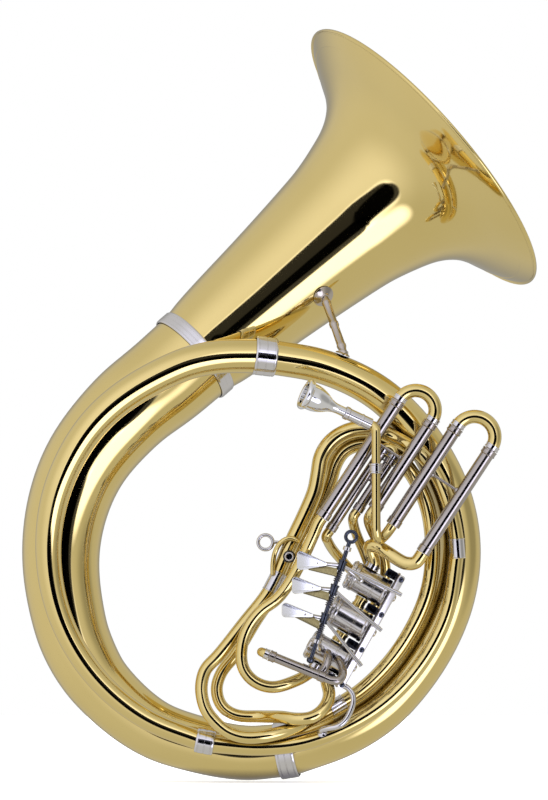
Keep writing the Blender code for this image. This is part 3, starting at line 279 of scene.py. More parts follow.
class HeliconStudio(bpy.types.PropertyGroup):
    """Camera, light and floor"""

    camera_distance: bpy.props.FloatProperty(
        name="Camera distance", description="From the object to the camera", unit="LENGTH", default=12.0
    )
    view_height: bpy.props.FloatProperty(
        name="View height", description="Height of the view at the object", unit="LENGTH", default=0.96
    )
    backdrop_colour: bpy.props.FloatVectorProperty(
        name="Backdrop", description="Colour seen behind the object", subtype="COLOR", default=(1.0, 1.0, 1.0)
    )
    floor_colour: bpy.props.FloatVectorProperty(
        name="Floor", description="Colour of the floor", subtype="COLOR", default=(0.97, 0.97, 0.97)
    )
    wall_light: bpy.props.FloatProperty(
        name="Walls", description="Light of the white walls in the reflections", default=0.57
    )


def point(x, y, z):
    return Vector((x, y, z)) * MM


def in_plane(degrees):
    """A direction in the picture plane, counted from +X towards +Z."""
    turn = math.radians(degrees)
    return Vector((math.cos(turn), 0, math.sin(turn)))


VALVE_AXIS = in_plane(VALVE_AXIS_DEG)
VALVE_ROW = in_plane(VALVE_ROW_DEG)
TOWARDS = Vector((0, -1, 0))
AWAY = Vector((0, 1, 0))
UP = Vector((0, 0, 1))


def ring_point(angle, radius, depth):
    return point(RING_X, depth, RING_Z) + in_plane(angle) * radius * MM


def ring_stations(rows):
    return [(ring_point(angle, radius, depth), bore * MM) for angle, radius, depth, bore in rows]


def route_stations(rows):
    return [(point(x, y, z), bore * MM) for x, y, z, bore in rows]


def bell_axis():
    rise, away = math.radians(BELL_RISE_DEG), math.radians(BELL_AWAY_DEG)
    return Vector((math.cos(rise) * math.cos(away), math.sin(away), math.sin(rise) * math.cos(away)))


def smooth(stations, steps, ease=0):
    """Points on one smooth curve through (point, radius) stations; ease evens out its bends."""
    places = [place for place, _ in stations]
    chords = [(after - before).normalized() for before, after in zip(places, places[1:])]
    ways = [chords[0], *((a + b).normalized() for a, b in zip(chords, chords[1:])), chords[-1]]
    found = []
    for number, ((start, radius), (end, next_radius)) in enumerate(zip(stations, stations[1:])):
        reach = (end - start).length
        for step in range(steps):
            t = step / steps
            place = start * (2 * t**3 - 3 * t * t + 1) + end * (3 * t * t - 2 * t**3)
            place += (ways[number] * (t**3 - 2 * t * t + t) + ways[number + 1] * (t**3 - t * t)) * reach
            found.append((place, radius + (next_radius - radius) * t))
    found.append(stations[-1])
    for _ in range(ease):
        inner = [
            ((a[0] + b[0] * 2 + c[0]) / 4, (a[1] + b[1] * 2 + c[1]) / 4)
            for a, b, c in zip(found, found[1:], found[2:])
        ]
        found = [found[0], *inner, found[-1]]
    return found


def smooth_profile(rows, steps, ease=0):
    """The same for a list of (radius, height) pairs."""
    stations = smooth([(Vector((radius, height, 0)), 0) for radius, height in rows], steps, ease)
    return [(place.x, place.y) for place, _ in stations]


def sweep(work, stations, around=24, closed=False):
    """Adds a round tube along the stations, with flat ends, or joined end to end."""
    rings, side = [], None
    last = len(stations) - 1
    for number, (place, radius) in enumerate(stations):
        before = stations[number - 1 if number or closed else 0][0]
        after = stations[(number + 1) % len(stations) if number < last or closed else last][0]
        along = (after - before).normalized()
        side = along.orthogonal() if side is None else side
        side = (side - side.project(along)).normalized()
        third = along.cross(side)
        turns = [math.tau * step / around for step in range(around)]
        rings.append([
            work.verts.new(place + (side * math.cos(turn) + third * math.sin(turn)) * radius) for turn in turns
        ])
    pairs = list(zip(rings, rings[1:]))
    if closed:
        pairs.append((rings[-1], rings[0]))
    else:
        work.faces.new(list(reversed(rings[0])))
        work.faces.new(rings[-1])
    for lower, upper in pairs:
        for step in range(around):
            follow = (step + 1) % around
            work.faces.new((lower[step], lower[follow], upper[follow], upper[step]))


def rod(work, start, end, radius, around=24):
    sweep(work, [(start, radius * MM), (end, radius * MM)], around)


def hoop(work, centre, axis, radius, wire, around=48):
    """Adds a closed ring of round wire."""
    side = axis.orthogonal().normalized()
    third = axis.normalized().cross(side)
    stations = []
    for step in range(around):
        turn = math.tau * step / around
        stations.append((centre + (side * math.cos(turn) + third * math.sin(turn)) * radius * MM, wire * MM))
    sweep(work, stations, 20, True)


def spin(work, profile, place, axis, around=64):
    """Adds a turned shape from (radius, height) points; a profile off the axis closes on itself."""
    along = axis.normalized()
    side = along.orthogonal().normalized()
    third = along.cross(side)
    turns = [math.tau * step / around for step in range(around)]
    rows = []
    for radius, height in profile:
        centre = place + along * height * MM
        ways = [side * math.cos(turn) + third * math.sin(turn) for turn in turns] if radius else [Vector()]
        rows.append([work.verts.new(centre + way * radius * MM) for way in ways])
    pairs = list(zip(rows, rows[1:]))
    if profile[0][0]:
        pairs.append((rows[-1], rows[0]))
    for upper, lower in pairs:
        for step in range(around):
            follow = (step + 1) % around
            corners = [upper[step % len(upper)], upper[follow % len(upper)], lower[follow % len(lower)],
                       lower[step % len(lower)]]
            work.faces.new(list(dict.fromkeys(corners)))


def slab(work, outline, thick, place, axis, upright, holes=(), bevel=0.4):
    """Adds a flat piece with softened edges: its outline and round holes lie square to axis."""
    data = bpy.data.curves.new("outline", "CURVE")
    data.dimensions = "2D"
    data.fill_mode = "BOTH"
    data.extrude = (thick / 2 - bevel) * MM
    data.bevel_depth = bevel * MM
    data.bevel_resolution = 2
    data.offset = -bevel * MM
    rims = [outline]
    for x, y, radius in holes:
        turns = [math.tau * step / 32 for step in range(32)]
        rims.append([(x + radius * math.cos(turn), y + radius * math.sin(turn)) for turn in turns])
    for rim in rims:
        spline = data.splines.new("POLY")
        spline.points.add(len(rim) - 1)
        spline.use_cyclic_u = True
        for knot, (x, y) in zip(spline.points, rim):
            knot.co = (x * MM, y * MM, 0, 1)
    holder = bpy.data.objects.new("outline", data)
    mesh = bpy.data.meshes.new_from_object(holder)
    along = axis.normalized()
    side = (upright - upright.project(along)).normalized()
    turned = Matrix((side, along.cross(side), along)).transposed().to_4x4()
    mesh.transform(Matrix.Translation(place) @ turned)
    work.from_mesh(mesh)
    bmesh.ops.remove_doubles(work, verts=work.verts, dist=0.000005)
    bpy.data.objects.remove(holder)
    bpy.data.curves.remove(data)
    bpy.data.meshes.remove(mesh)


def rounded(corners, radii, steps=8):
    """An outline, counted anticlockwise, whose corners are rounded by arcs."""
    found = []
    for before, here, after, radius in zip(corners[-1:] + corners[:-1], corners, corners[1:] + corners[:1], radii):
        here = Vector(here)
        into, out = (Vector(before) - here).normalized(), (Vector(after) - here).normalized()
        half = into.angle(out) / 2
        centre = here + (into + out).normalized() * radius / math.sin(half)
        start = (into * radius / math.tan(half) + here) - centre
        for step in range(steps + 1):
            turn = (math.pi - 2 * half) * step / steps
            found.append((
                centre.x + start.x * math.cos(turn) - start.y * math.sin(turn),
                centre.y + start.x * math.sin(turn) + start.y * math.cos(turn),
            ))
    return found


def settle(name, work, finish, nodes=(), body="root", sharp_deg=34):
    """Turns the work into a finished piece that rides on a body and stands for these nodes."""
    bmesh.ops.recalc_face_normals(work, faces=work.faces)
    mesh = bpy.data.meshes.new(name)
    work.to_mesh(mesh)
    work.free()
    mesh.shade_smooth()
    mesh.set_sharp_from_angle(angle=math.radians(sharp_deg))
    mesh.materials.append(finish_named(finish))
    piece = bpy.data.objects.new(name, mesh)
    bpy.context.scene.collection.objects.link(piece)
    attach(piece, body)
    if nodes:
        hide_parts(*nodes)
    return piece


def wear_and_shade_group():
    """Slow changes of tone and polish, and fine wiping marks, from the piece's own coordinates; and painted shade,
    which darkens the colour towards the Painted Shade tint where other surfaces are near.
    """
    group = bpy.data.node_groups.get("polish_wear_and_painted_shade")
    if group:
        return group
    group = bpy.data.node_groups.new("polish_wear_and_painted_shade", "ShaderNodeTree")
    for name, kind, value in (
        ("Clean", "NodeSocketColor", (0.8, 0.6, 0.3, 1)),
        ("Aged", "NodeSocketColor", (0.7, 0.5, 0.2, 1)),
        ("Painted Shade", "NodeSocketColor", (0.2, 0.15, 0.06, 1)),
        ("Smooth", "NodeSocketFloat", 0.05),
        ("Worn", "NodeSocketFloat", 0.12),
        ("Patch Scale", "NodeSocketFloat", 14.0),
        ("Mark Scale", "NodeSocketFloat", 260.0),
    ):
        group.interface.new_socket(name, in_out="INPUT", socket_type=kind).default_value = value
    for name, kind in (("Colour", "NodeSocketColor"), ("Roughness", "NodeSocketFloat"), ("Height", "NodeSocketFloat")):
        group.interface.new_socket(name, in_out="OUTPUT", socket_type=kind)
    nodes, links = group.nodes, group.links
    source, result = nodes.new("NodeGroupInput"), nodes.new("NodeGroupOutput")
    place = nodes.new("ShaderNodeTexCoord")
    patches, marks, waves = (nodes.new("ShaderNodeTexNoise") for _ in range(3))
    patches.inputs["Detail"].default_value = 3.0
    marks.inputs["Detail"].default_value = 4.0
    waves.inputs["Scale"].default_value = 30.0
    waves.inputs["Detail"].default_value = 0.0
    for noise in (patches, marks, waves):
        links.new(place.outputs["Object"], noise.inputs["Vector"])
    links.new(source.outputs["Patch Scale"], patches.inputs["Scale"])
    links.new(source.outputs["Mark Scale"], marks.inputs["Scale"])
    blend, rough, height = nodes.new("ShaderNodeMix"), nodes.new("ShaderNodeMapRange"), nodes.new("ShaderNodeMix")
    blend.data_type = "RGBA"
    links.new(patches.outputs["Fac"], blend.inputs["Factor"])
    links.new(source.outputs["Clean"], blend.inputs["A"])
    links.new(source.outputs["Aged"], blend.inputs["B"])
    # Painted shade: ambient occlusion darkens the colour in the gaps between parts, where shade falls.
    gap_occlusion, open_share, painted_shade_mix = (
        nodes.new("ShaderNodeAmbientOcclusion"), nodes.new("ShaderNodeMapRange"), nodes.new("ShaderNodeMix")
    )
    gap_occlusion.samples = 8
    gap_occlusion.inputs["Distance"].default_value = PAINTED_SHADE_REACH * MM
    open_share.inputs["From Min"].default_value = 0.15
    open_share.inputs["From Max"].default_value = 0.75
    links.new(gap_occlusion.outputs["AO"], open_share.inputs["Value"])
    painted_shade_mix.data_type = "RGBA"
    links.new(open_share.outputs["Result"], painted_shade_mix.inputs["Factor"])
    links.new(source.outputs["Painted Shade"], painted_shade_mix.inputs["A"])
    links.new(blend.outputs["Result"], painted_shade_mix.inputs["B"])
    rough.inputs["From Min"].default_value = 0.4
    rough.inputs["From Max"].default_value = 0.8
    links.new(marks.outputs["Fac"], rough.inputs["Value"])
    links.new(source.outputs["Smooth"], rough.inputs["To Min"])
    links.new(source.outputs["Worn"], rough.inputs["To Max"])
    height.inputs["Factor"].default_value = 0.03
    links.new(waves.outputs["Fac"], height.inputs["A"])
    links.new(marks.outputs["Fac"], height.inputs["B"])
    links.new(painted_shade_mix.outputs["Result"], result.inputs["Colour"])
    links.new(rough.outputs["Result"], result.inputs["Roughness"])
    links.new(height.outputs["Result"], result.inputs["Height"])
    return group


def metal(name, colour, aged, smooth_level, worn_level, coat=0.0, bump_strength=0.05):
    """A polished metal with its own tone, wear, painted shade in its gaps and clear coat."""
    made = bpy.data.materials.new(name)
    made.use_nodes = True
    nodes, links = made.node_tree.nodes, made.node_tree.links
    shader = nodes["Principled BSDF"]
    shader.inputs["Metallic"].default_value = 1.0
    shader.inputs["Coat Weight"].default_value = coat
    shader.inputs["Coat Roughness"].default_value = 0.03
    wear_and_shade = nodes.new("ShaderNodeGroup")
    wear_and_shade.node_tree = wear_and_shade_group()
    wear_and_shade.inputs["Clean"].default_value = (*colour, 1)
    wear_and_shade.inputs["Aged"].default_value = (*aged, 1)
    # Painted shade: the metal's colour dimmed by the tint, used in its gaps.
    wear_and_shade.inputs["Painted Shade"].default_value = (*tinted(colour, *PAINTED_SHADE_TINT), 1)
    wear_and_shade.inputs["Smooth"].default_value = smooth_level
    wear_and_shade.inputs["Worn"].default_value = worn_level
    bump = nodes.new("ShaderNodeBump")
    bump.inputs["Strength"].default_value = bump_strength
    bump.inputs["Distance"].default_value = 0.001
    links.new(wear_and_shade.outputs["Colour"], shader.inputs["Base Color"])
    links.new(wear_and_shade.outputs["Roughness"], shader.inputs["Roughness"])
    links.new(wear_and_shade.outputs["Height"], bump.inputs["Height"])
    links.new(bump.outputs["Normal"], shader.inputs["Normal"])
    return made


def tinted(colour, red, green, blue):
    return tuple(level * share for level, share in zip(colour, (red, green, blue)))


def finish_named(name):
    """The material of this name, made when it is first asked for."""
    made = bpy.data.materials.get(name + "_finish")
    if made:
        return made
    look = bpy.context.scene.helicon_finish
    brass, nickel = tuple(look.brass_colour), tuple(look.nickel_colour)
    silver, steel = tuple(look.silver_colour), tuple(look.steel_colour)
    label = name + "_finish"
    if name == BRASS:
        aged = tinted(brass, 0.96, 0.94, 0.86)
        return metal(label, brass, aged, look.polish, look.polish + 0.04, look.lacquer, 0.02)
    if name == SILVER:
        return metal(label, silver, tinted(silver, 0.96, 0.95, 0.92), 0.04, 0.09)
    if name == STEEL:
        return metal(label, steel, tinted(steel, 0.7, 0.7, 0.75), 0.25, 0.4)
    if name == "dark_steel":
        return metal(label, tinted(steel, 0.6, 0.65, 0.75), tinted(steel, 0.3, 0.35, 0.45), 0.12, 0.3)
    # Brass darkened in its colour: painted shadow on the lever webs under the touch plates.
    if name == "shadowed_brass":
        return metal(label, tinted(brass, 0.28, 0.32, 0.45), tinted(brass, 0.5, 0.5, 0.5), 0.2, 0.4)
    if name == "dark_nickel":
        return metal(label, tinted(nickel, 0.62, 0.55, 0.45), tinted(nickel, 0.8, 0.74, 0.66), 0.1, 0.2)
    # Nickel darkened in its colour: painted dark reflections on the slide sleeves.
    if name == "shaded_nickel":
        return metal(label, tinted(nickel, 0.66, 0.62, 0.57), tinted(nickel, 0.56, 0.51, 0.45), 0.1, 0.18)
    if name == "casing":
        return metal(label, nickel, tinted(nickel, 0.9, 0.88, 0.84), 0.16, 0.24)
    if name == "touch_plate":
        return metal(label, silver, tinted(silver, 0.98, 0.98, 0.98), 0.16, 0.22)
    return metal(label, nickel, tinted(nickel, 0.94, 0.93, 0.90), 0.07, 0.14)


class HELICON_OT_bell(bpy.types.Operator):
    """Spin the bell with its seam, garland band and rolled rim"""

    bl_idname = "helicon.bell"
    bl_label = "Bell"

    def execute(self, context):
        flare = BELL_MOUTH_RADIUS - BELL_THROAT_RADIUS
        rows = [(BELL_THROAT_RADIUS + flare * wide, BELL_FOOT + BELL_LENGTH * along) for along, wide in BELL_SHAPE]
        outer = smooth_profile(rows, 12, 14)
        wall, bead, seam = 1.8, 2.6, BELL_FOOT + BELL_LENGTH * BELL_SEAM_SHARE
        inner = [(radius - wall, height + wall * 0.4) for radius, height in outer]
        inner[0] = (outer[0][0] - wall, outer[0][1])
        outer = [
            (radius + 0.05 * math.exp(-(((height - seam) / 1.6) ** 2)), height) for radius, height in outer
        ]
        tip_radius, tip = rows[-1]
        rim = []
        for turn in range(-50, 231, 14):
            corner = math.radians(turn)
            rim.append((tip_radius + bead * math.cos(corner), tip + bead * math.sin(corner)))
        work = bmesh.new()
        spin(work, list(reversed(outer[:-1])) + inner[:-2] + list(reversed(rim)), point(*BELL_START), bell_axis(), 192)
        settle("bell_flare_and_stem", work, BRASS, ("bell_stem", "bell_flare"))
        band = [(radius, height) for radius, height in outer if radius > BELL_MOUTH_RADIUS - 16][:-1]
        garland = [(radius + 0.55, height - 0.35) for radius, height in band]
        garland = [(band[0][0] - 0.3, band[0][1]), *garland, (band[-1][0] - 0.3, band[-1][1])]
        work = bmesh.new()
        spin(work, list(reversed(garland)), point(*BELL_START), bell_axis(), 192)
        settle("bell_garland", work, BRASS)
        return {"FINISHED"}


class HELICON_OT_branches(bpy.types.Operator):
    """Draw the ring's four branches as smooth tapering tubes"""

    bl_idname = "helicon.branches"
    bl_label = "Branches"

    def execute(self, context):
        axis, start = bell_axis(), point(*BELL_START)
        radius = (BELL_THROAT_RADIUS - 0.4) * MM
        stem = [(start, radius), (start - axis * STEM_LENGTH * MM, radius - MM)]
        for name, stations, around in (
            ("bell_branch", stem + ring_stations(BELL_BRANCH), 96),
            ("big_bow", ring_stations(BIG_BOW), 72),
            ("second_branch", ring_stations(SECOND_BRANCH), 64),
            ("inner_branch", ring_stations(INNER_BRANCH), 48),
        ):
            work = bmesh.new()
            sweep(work, smooth(stations, 12, 10), around)
            settle(name + "_tube", work, BRASS, (name,))
        return {"FINISHED"}


class HELICON_OT_ferrules(bpy.types.Operator):
    """Turn the ridged sleeves over the joints of the branches"""

    bl_idname = "helicon.ferrules"
    bl_label = "Ferrules"

    def execute(self, context):
        axis = bell_axis()
        seats = {"bell_ferrule": (point(*BELL_START) + axis * BELL_FOOT / 2 * MM, axis, BELL_THROAT_RADIUS)}
        for name, before, after in (
            ("bottom_ferrule", BELL_BRANCH, BIG_BOW),
            ("top_ferrule", BIG_BOW, SECOND_BRANCH),
            ("lower_ferrule", SECOND_BRANCH, INNER_BRANCH),
        ):
            here, there = ring_point(*before[-1][:3]), ring_point(*after[0][:3])
            seats[name] = ((here + there) / 2, there - here, before[-1][3])
        for name, (place, way, bore) in seats.items():
            half = FERRULE_WIDTH[name] / 2
            inside = bore + FERRULE_CLEARANCE[name] * 0.5
            skin = inside + FERRULE_WALL
            profile = [(inside, half), (skin - 1.0, half), (skin - 0.5, half - 0.6)]
            for centre in (half - 3.2, 0, 3.2 - half):
                for out, along in ((0, 1.3), (0, 0.75), (-0.35, 0.45), (-0.35, -0.45), (0, -0.75), (0, -1.3)):
                    profile.append((skin + out, centre + along))
            profile += [(skin - 0.5, 0.6 - half), (skin - 1.0, -half), (inside, -half)]
            work = bmesh.new()
            spin(work, profile, place, way, 128)
            settle(name + "_ridged", work, NICKEL, (name,))
        return {"FINISHED"}


def casing_side(number, along, side, gap=0.35):
    """A point just off a casing's waist, this far along its axis, and the outward direction there."""
    return valve_centre(number) + VALVE_AXIS * along * MM + side * (CASING_RADIUS - 1 + gap) * MM, side


def valve_centre(number):
    return point(*VALVE_ONE) + VALVE_ROW * VALVE_PITCH * number * MM


def slide_frame(name):
    """The pull direction, and the tops of the left and right legs."""
    slide = SLIDES[name]
    turn = math.radians(slide.spread)
    spread = in_plane(slide.lean - 90) * math.cos(turn) + AWAY * math.sin(turn)
    left = point(slide.top[0], slide.depth, slide.top[1])
    return in_plane(slide.lean), left, left + spread * slide.spacing * MM


def sleeve_foot(name, side, gap=0.4):
    """Where a crook meets the sleeve's lower end, and the way the tube runs there."""
    pull, *tops = slide_frame(name)
    return tops[side] - pull * (SLIDES[name].sleeves[side] + gap) * MM, -pull


def collar(work, place, axis, bore, length=7, rise=1.1):
    """Adds a short sleeve with a bead at each end, centred on place."""
    half = length / 2
    profile = [(bore - 0.3, half), (bore + rise, half - 0.3), (bore + rise, half - 1.3), (bore + rise * 0.55, half - 1.7),
               (bore + rise * 0.55, 1.7 - half), (bore + rise, 1.3 - half), (bore + rise, 0.3 - half), (bore - 0.3, -half)]
    spin(work, profile, place, axis, 48)


class HELICON_OT_turns(bpy.types.Operator):
    """Draw the two turns inside the ring, and the collars over their joints"""

    bl_idname = "helicon.turns"
    bl_label = "Inner turns"

    def execute(self, context):
        outer = smooth(route_stations(OUTER_TURN), 10, 5)
        (before, _), (last, radius) = outer[-2:]
        way = (last - before).normalized()
        seat, out = casing_side(2, INNER_TURN_SEAT, VALVE_ROW)
        first = [(last + way * reach * MM, radius) for reach in (0.35, 8)]
        ends = [(seat + out * reach * MM, INNER_TURN[-1][3] * MM) for reach in (8, 0)]
        inner = smooth(first + route_stations(INNER_TURN) + ends, 10, 5)
        for name, stations in (("outer_turn", outer), ("inner_turn", inner)):
            work = bmesh.new()
            sweep(work, stations, 40)
            settle(name + "_tube", work, BRASS, (name,))
        work = bmesh.new()
        collar(work, last, way, radius / MM, 20)
        (foot, foot_radius), (above, _) = outer[0], outer[2]
        collar(work, foot, above - foot, foot_radius / MM, 24)
        for stations, share in ((outer, 0.545), (inner, 0.55)):
            number = int(len(stations) * share)
            here, bore = stations[number]
            collar(work, here, stations[number + 1][0] - here, bore / MM, 26)
        collar(work, seat + out * 3.5 * MM, out, ends[0][1] / MM)
        settle("turn_collars", work, NICKEL)
        return {"FINISHED"}


def crook_route(start, way, knots, end, out, radius):
    """A bent tube's stations; its ends run straight, square to what they meet."""
    route = [start, start + way * 8 * MM, *(point(*knot) for knot in knots), end + out * 8 * MM, end]
    return smooth([(place, radius * MM) for place in route], 8, 4)


class HELICON_OT_crooks(bpy.types.Operator):
    """Draw the crooks, the third valve's loop and the connecting tubes"""

    bl_idname = "helicon.crooks"
    bl_label = "Crooks"

    def execute(self, context):
        main, first = SLIDES["main"].radius, SLIDES["first"].radius
        for name, start, knots, end, radius in (
            ("main_crook", sleeve_foot("main", 1), MAIN_CROOK, casing_side(0, -8, -VALVE_ROW), main),
            ("first_crook_left", sleeve_foot("first", 0), FIRST_CROOK_LEFT, casing_side(0, -11, AWAY), first),
            ("first_crook_right", sleeve_foot("first", 1), FIRST_CROOK_RIGHT, casing_side(0, 4, AWAY), first),
            ("third_crook", sleeve_foot("third", 1), THIRD_CROOK, casing_side(1, 8, AWAY), CROOK_RADIUS),
            ("valve_loop", sleeve_foot("third", 0), VALVE_LOOP, casing_side(2, -9, VALVE_ROW), LOOP_RADIUS),
        ):
            work = bmesh.new()
            sweep(work, crook_route(*start, knots, *end, radius), 36)
            settle(name + "_tube", work, BRASS, (name,))
            work = bmesh.new()
            collar(work, end[0] + end[1] * 3.2 * MM, end[1], radius, 6)
            settle(name + "_collar", work, NICKEL)
        for number in range(2):
            start, _ = casing_side(number, 0, VALVE_ROW)
            end, _ = casing_side(number + 1, 0, -VALVE_ROW)
            work = bmesh.new()
            rod(work, start, end, CONNECTOR_RADIUS, 36)
            collar(work, start + VALVE_ROW * 2 * MM, VALVE_ROW, CONNECTOR_RADIUS, 4)
            collar(work, end - VALVE_ROW * 2 * MM, VALVE_ROW, CONNECTOR_RADIUS, 4)
            name = "connector_%d" % (number + 1)
            settle(name + "_tube", work, BRASS, (name,))
        return {"FINISHED"}


class HELICON_OT_slides(bpy.types.Operator):
    """Build the pull slides: bows on inner legs, and the braced outer sleeves"""

    bl_idname = "helicon.slides"
    bl_label = "Pull slides"

    def execute(self, context):
        for name in SLIDES:
            self.draw_slide(name)
            self.draw_sleeves(name)
        return {"FINISHED"}

    def draw_slide(self, name):
        pull, left, right = slide_frame(name)
        across = (right - left).normalized()
        spacing, radius, lengths = SLIDES[name][-3:]
        inner = radius - SLIDE_WALL - 0.35
        inside = min(LEG_INSIDE, min(lengths) - 4)
        bow = [(left + pull * reach * MM, radius * MM) for reach in (0.3, 1.2)]
        for step in range(33):
            turn = math.pi * step / 32
            place = (left + right) / 2 + (pull * math.sin(turn) - across * math.cos(turn)) * spacing / 2 * MM
            bow.append((place + pull * 2 * MM, radius * MM))
        bow += [(right + pull * reach * MM, radius * MM) for reach in (1.2, 0.3)]
        work = bmesh.new()
        sweep(work, bow, 40)
        settle(name + "_slide_bow", work, BRASS, (name + "_slide",), name + "_slide")
        work = bmesh.new()
        for top in (left, right):
            rod(work, top - pull * inside * MM, top + pull * 0.8 * MM, inner, 36)
            collar(work, top + pull * 3.4 * MM, pull, radius, 6, 0.9)
        settle(name + "_slide_legs", work, NICKEL, (), name + "_slide")

    def draw_sleeves(self, name):
        pull, left, right = slide_frame(name)
        across = (right - left).normalized()
        radius, lengths = SLIDES[name][-2:]
        bore = radius - SLIDE_WALL
        work = bmesh.new()
        for top, length in ((left, lengths[0]), (right, lengths[1])):
            profile = [
                (bore, -0.4), (radius + 0.9, -0.4), (radius + 1.3, -0.9), (radius + 1.3, -2.0), (radius + 0.9, -2.5),
                (radius + 0.9, -5.8), (radius + 1.3, -6.2), (radius + 1.3, -7.2), (radius + 0.9, -7.6), (radius, -8.4),
                (radius, -length + 9), (radius + 0.8, -length + 8.4), (radius + 0.8, -length + 0.6),
                (radius, -length), (bore, -length),
            ]
            spin(work, profile, top, pull, 48)
        level = pull * min(lengths) * 0.45 * MM
        start, end = left - level + across * (radius - 0.4) * MM, right - level - across * (radius - 0.4) * MM
        rod(work, start, end, 1.8)
        for place, way in ((start, across), (end, -across)):
            spin(work, [(0, 2.6), (2.2, 2.4), (3.6, 1.2), (4.2, -0.6), (0, -0.6)], place, way, 32)
        if name == "second":
            for side, knots, along in ((0, FRONT_TAIL, 11), (1, BACK_TAIL, -4)):
                foot, way = sleeve_foot(name, side, -1)
                seat, out = casing_side(2, along, TOWARDS)
                sweep(work, crook_route(foot, way, knots, seat, out, radius - 0.4), 32)
        # The sleeves' darkened nickel is a painted dark reflection.
        settle(name + "_outer_legs", work, "shaded_nickel", (name + "_slide_sleeves",))


class HELICON_OT_valves(bpy.types.Operator):
    """Turn the rotary valves with their caps, and cut the stop arms with their screws"""

    bl_idname = "helicon.valves"
    bl_label = "Rotary valves"

    def execute(self, context):
        for number in range(3):
            self.draw_valve(number)
        return {"FINISHED"}

    def draw_valve(self, number):
        tag = str(number + 1)
        centre = valve_centre(number)
        half, bore, skin = CASING_HALF, CASING_RADIUS - CASING_WALL, CASING_RADIUS
        work = bmesh.new()
        profile = [(SHAFT_RADIUS + 0.4, half), (7.2, half)]
        profile += [(7.6, half - 0.3), (skin - 1.4, half - 0.3), (skin - 0.4, half - 0.7), (skin, half - 1.4)]
        profile += [(skin, half - 4.6), (skin - 0.4, half - 5.2), (skin - 1, half - 5.8), (skin - 1, 6.4), (skin - 0.5, 6.0)]
        profile += [(skin - 0.5, 4.4), (skin - 1, 4.0), (skin - 1, 5.8 - half), (skin - 0.4, 5.2 - half)]
        profile += [(skin, 4.6 - half), (skin, 1.2 - half), (skin - 0.5, 0.3 - half), (skin - 0.8, -half), (bore, -half)]
        profile += [(bore, half - 4), (SHAFT_RADIUS + 0.4, half - 4)]
        spin(work, profile, centre, VALVE_AXIS, 96)
        settle("valve_casing_%s_turned" % tag, work, "casing", ("valve_casing_" + tag,))
        top = -half - 0.3
        work = bmesh.new()
        cap = [(0, top), (skin - 0.4, top), (skin, top - 0.4), (skin, top - 3.2), (skin - 0.9, top - 3.8)]
        cap += [(skin - 1.2, top - 4.8), (skin - 2.4, top - 5.6), (skin - 4, top - 6.0), (6.5, top - 6.3)]
        cap += [(6.0, top - 6.9), (2.0, top - 7.0), (1.6, top - 6.2), (0, top - 6.2)]
        spin(work, cap, centre, VALVE_AXIS, 96)
        self.knurl(work, centre + VALVE_AXIS * (top - 1.9) * MM, skin)
        settle("valve_cap_%s_knurled" % tag, work, NICKEL, ("valve_cap_" + tag,))
        work = bmesh.new()
        turning = bore - 0.4
        rotor = [(0, SHAFT_END), (SHAFT_RADIUS - 0.5, SHAFT_END), (SHAFT_RADIUS, SHAFT_END - 0.5)]
        rotor += [(SHAFT_RADIUS, half - 4.4), (turning, half - 4.4), (turning, 0.4 - half), (0, 0.4 - half)]
        spin(work, rotor, centre, VALVE_AXIS, 64)
        settle("rotor_%s_turned" % tag, work, BRASS, ("rotor_" + tag,), "rotor_" + tag)
        self.draw_stop_arm(tag, number)

    def knurl(self, work, place, radius):
        """Adds fine teeth round a cap's edge."""
        teeth = 60
        side = VALVE_AXIS.orthogonal().normalized()
        third = VALVE_AXIS.cross(side)
        for step in range(teeth):
            turn = math.tau * step / teeth
            out = side * math.cos(turn) + third * math.sin(turn)
            start, end = (place + out * (radius - 0.1) * MM + VALVE_AXIS * reach * MM for reach in (-1.1, 1.1))
            rod(work, start, end, 0.42, 6)

    def draw_stop_arm(self, tag, number):
        foot = valve_centre(number) + VALVE_AXIS * (SHAFT_END + 0.3) * MM
        way = link_pivot(number) - foot
        hub, tip = 6.5, 3.0
        lean = math.acos((hub - tip) / STOP_ARM_REACH)
        outline = []
        for step in range(29):
            turn = lean + (math.tau - 2 * lean) * step / 28
            outline.append((hub * math.cos(turn), hub * math.sin(turn)))
        for step in range(13):
            turn = -lean + 2 * lean * step / 12
            outline.append((STOP_ARM_REACH + tip * math.cos(turn), tip * math.sin(turn)))
        work = bmesh.new()
        slab(work, outline, STOP_ARM_THICK, foot + VALVE_AXIS * STOP_ARM_THICK / 2 * MM, VALVE_AXIS, way)
        top = STOP_ARM_THICK - 0.2
        screw_head(work, foot + VALVE_AXIS * top * MM, VALVE_AXIS, 4.4, 2.4)
        settle("stop_arm_%s_cut" % tag, work, NICKEL, ("stop_arm_" + tag,), "rotor_" + tag, sharp_deg=20)


def screw_head(work, place, axis, radius, height):
    """Adds a domed screw head with a rim."""
    profile = [(0, height), (radius * 0.35, height * 0.97), (radius * 0.7, height * 0.82), (radius * 0.92, height * 0.5)]
    profile += [(radius, height * 0.2), (radius, 0), (0, 0)]
    spin(work, profile, place, axis, 32)


def link_pivot(number):
    """Where the link meets the stop arm at rest: half way between away from the viewer and up the row."""
    arm = (-TOWARDS - VALVE_ROW).normalized() * STOP_ARM_REACH
    height = SHAFT_END + 0.3 + STOP_ARM_THICK + 0.4 + LINK_RADIUS
    return valve_centre(number) + (VALVE_AXIS * height + arm) * MM


def post_place(number):
    """Where a post's middle line crosses the casings' own plane."""
    height = CASING_HALF + STRIP_THICK + POST_RADIUS - 0.6
    return valve_centre(0) + (VALVE_ROW * VALVE_PITCH * (number - 0.5) + VALVE_AXIS * height) * MM


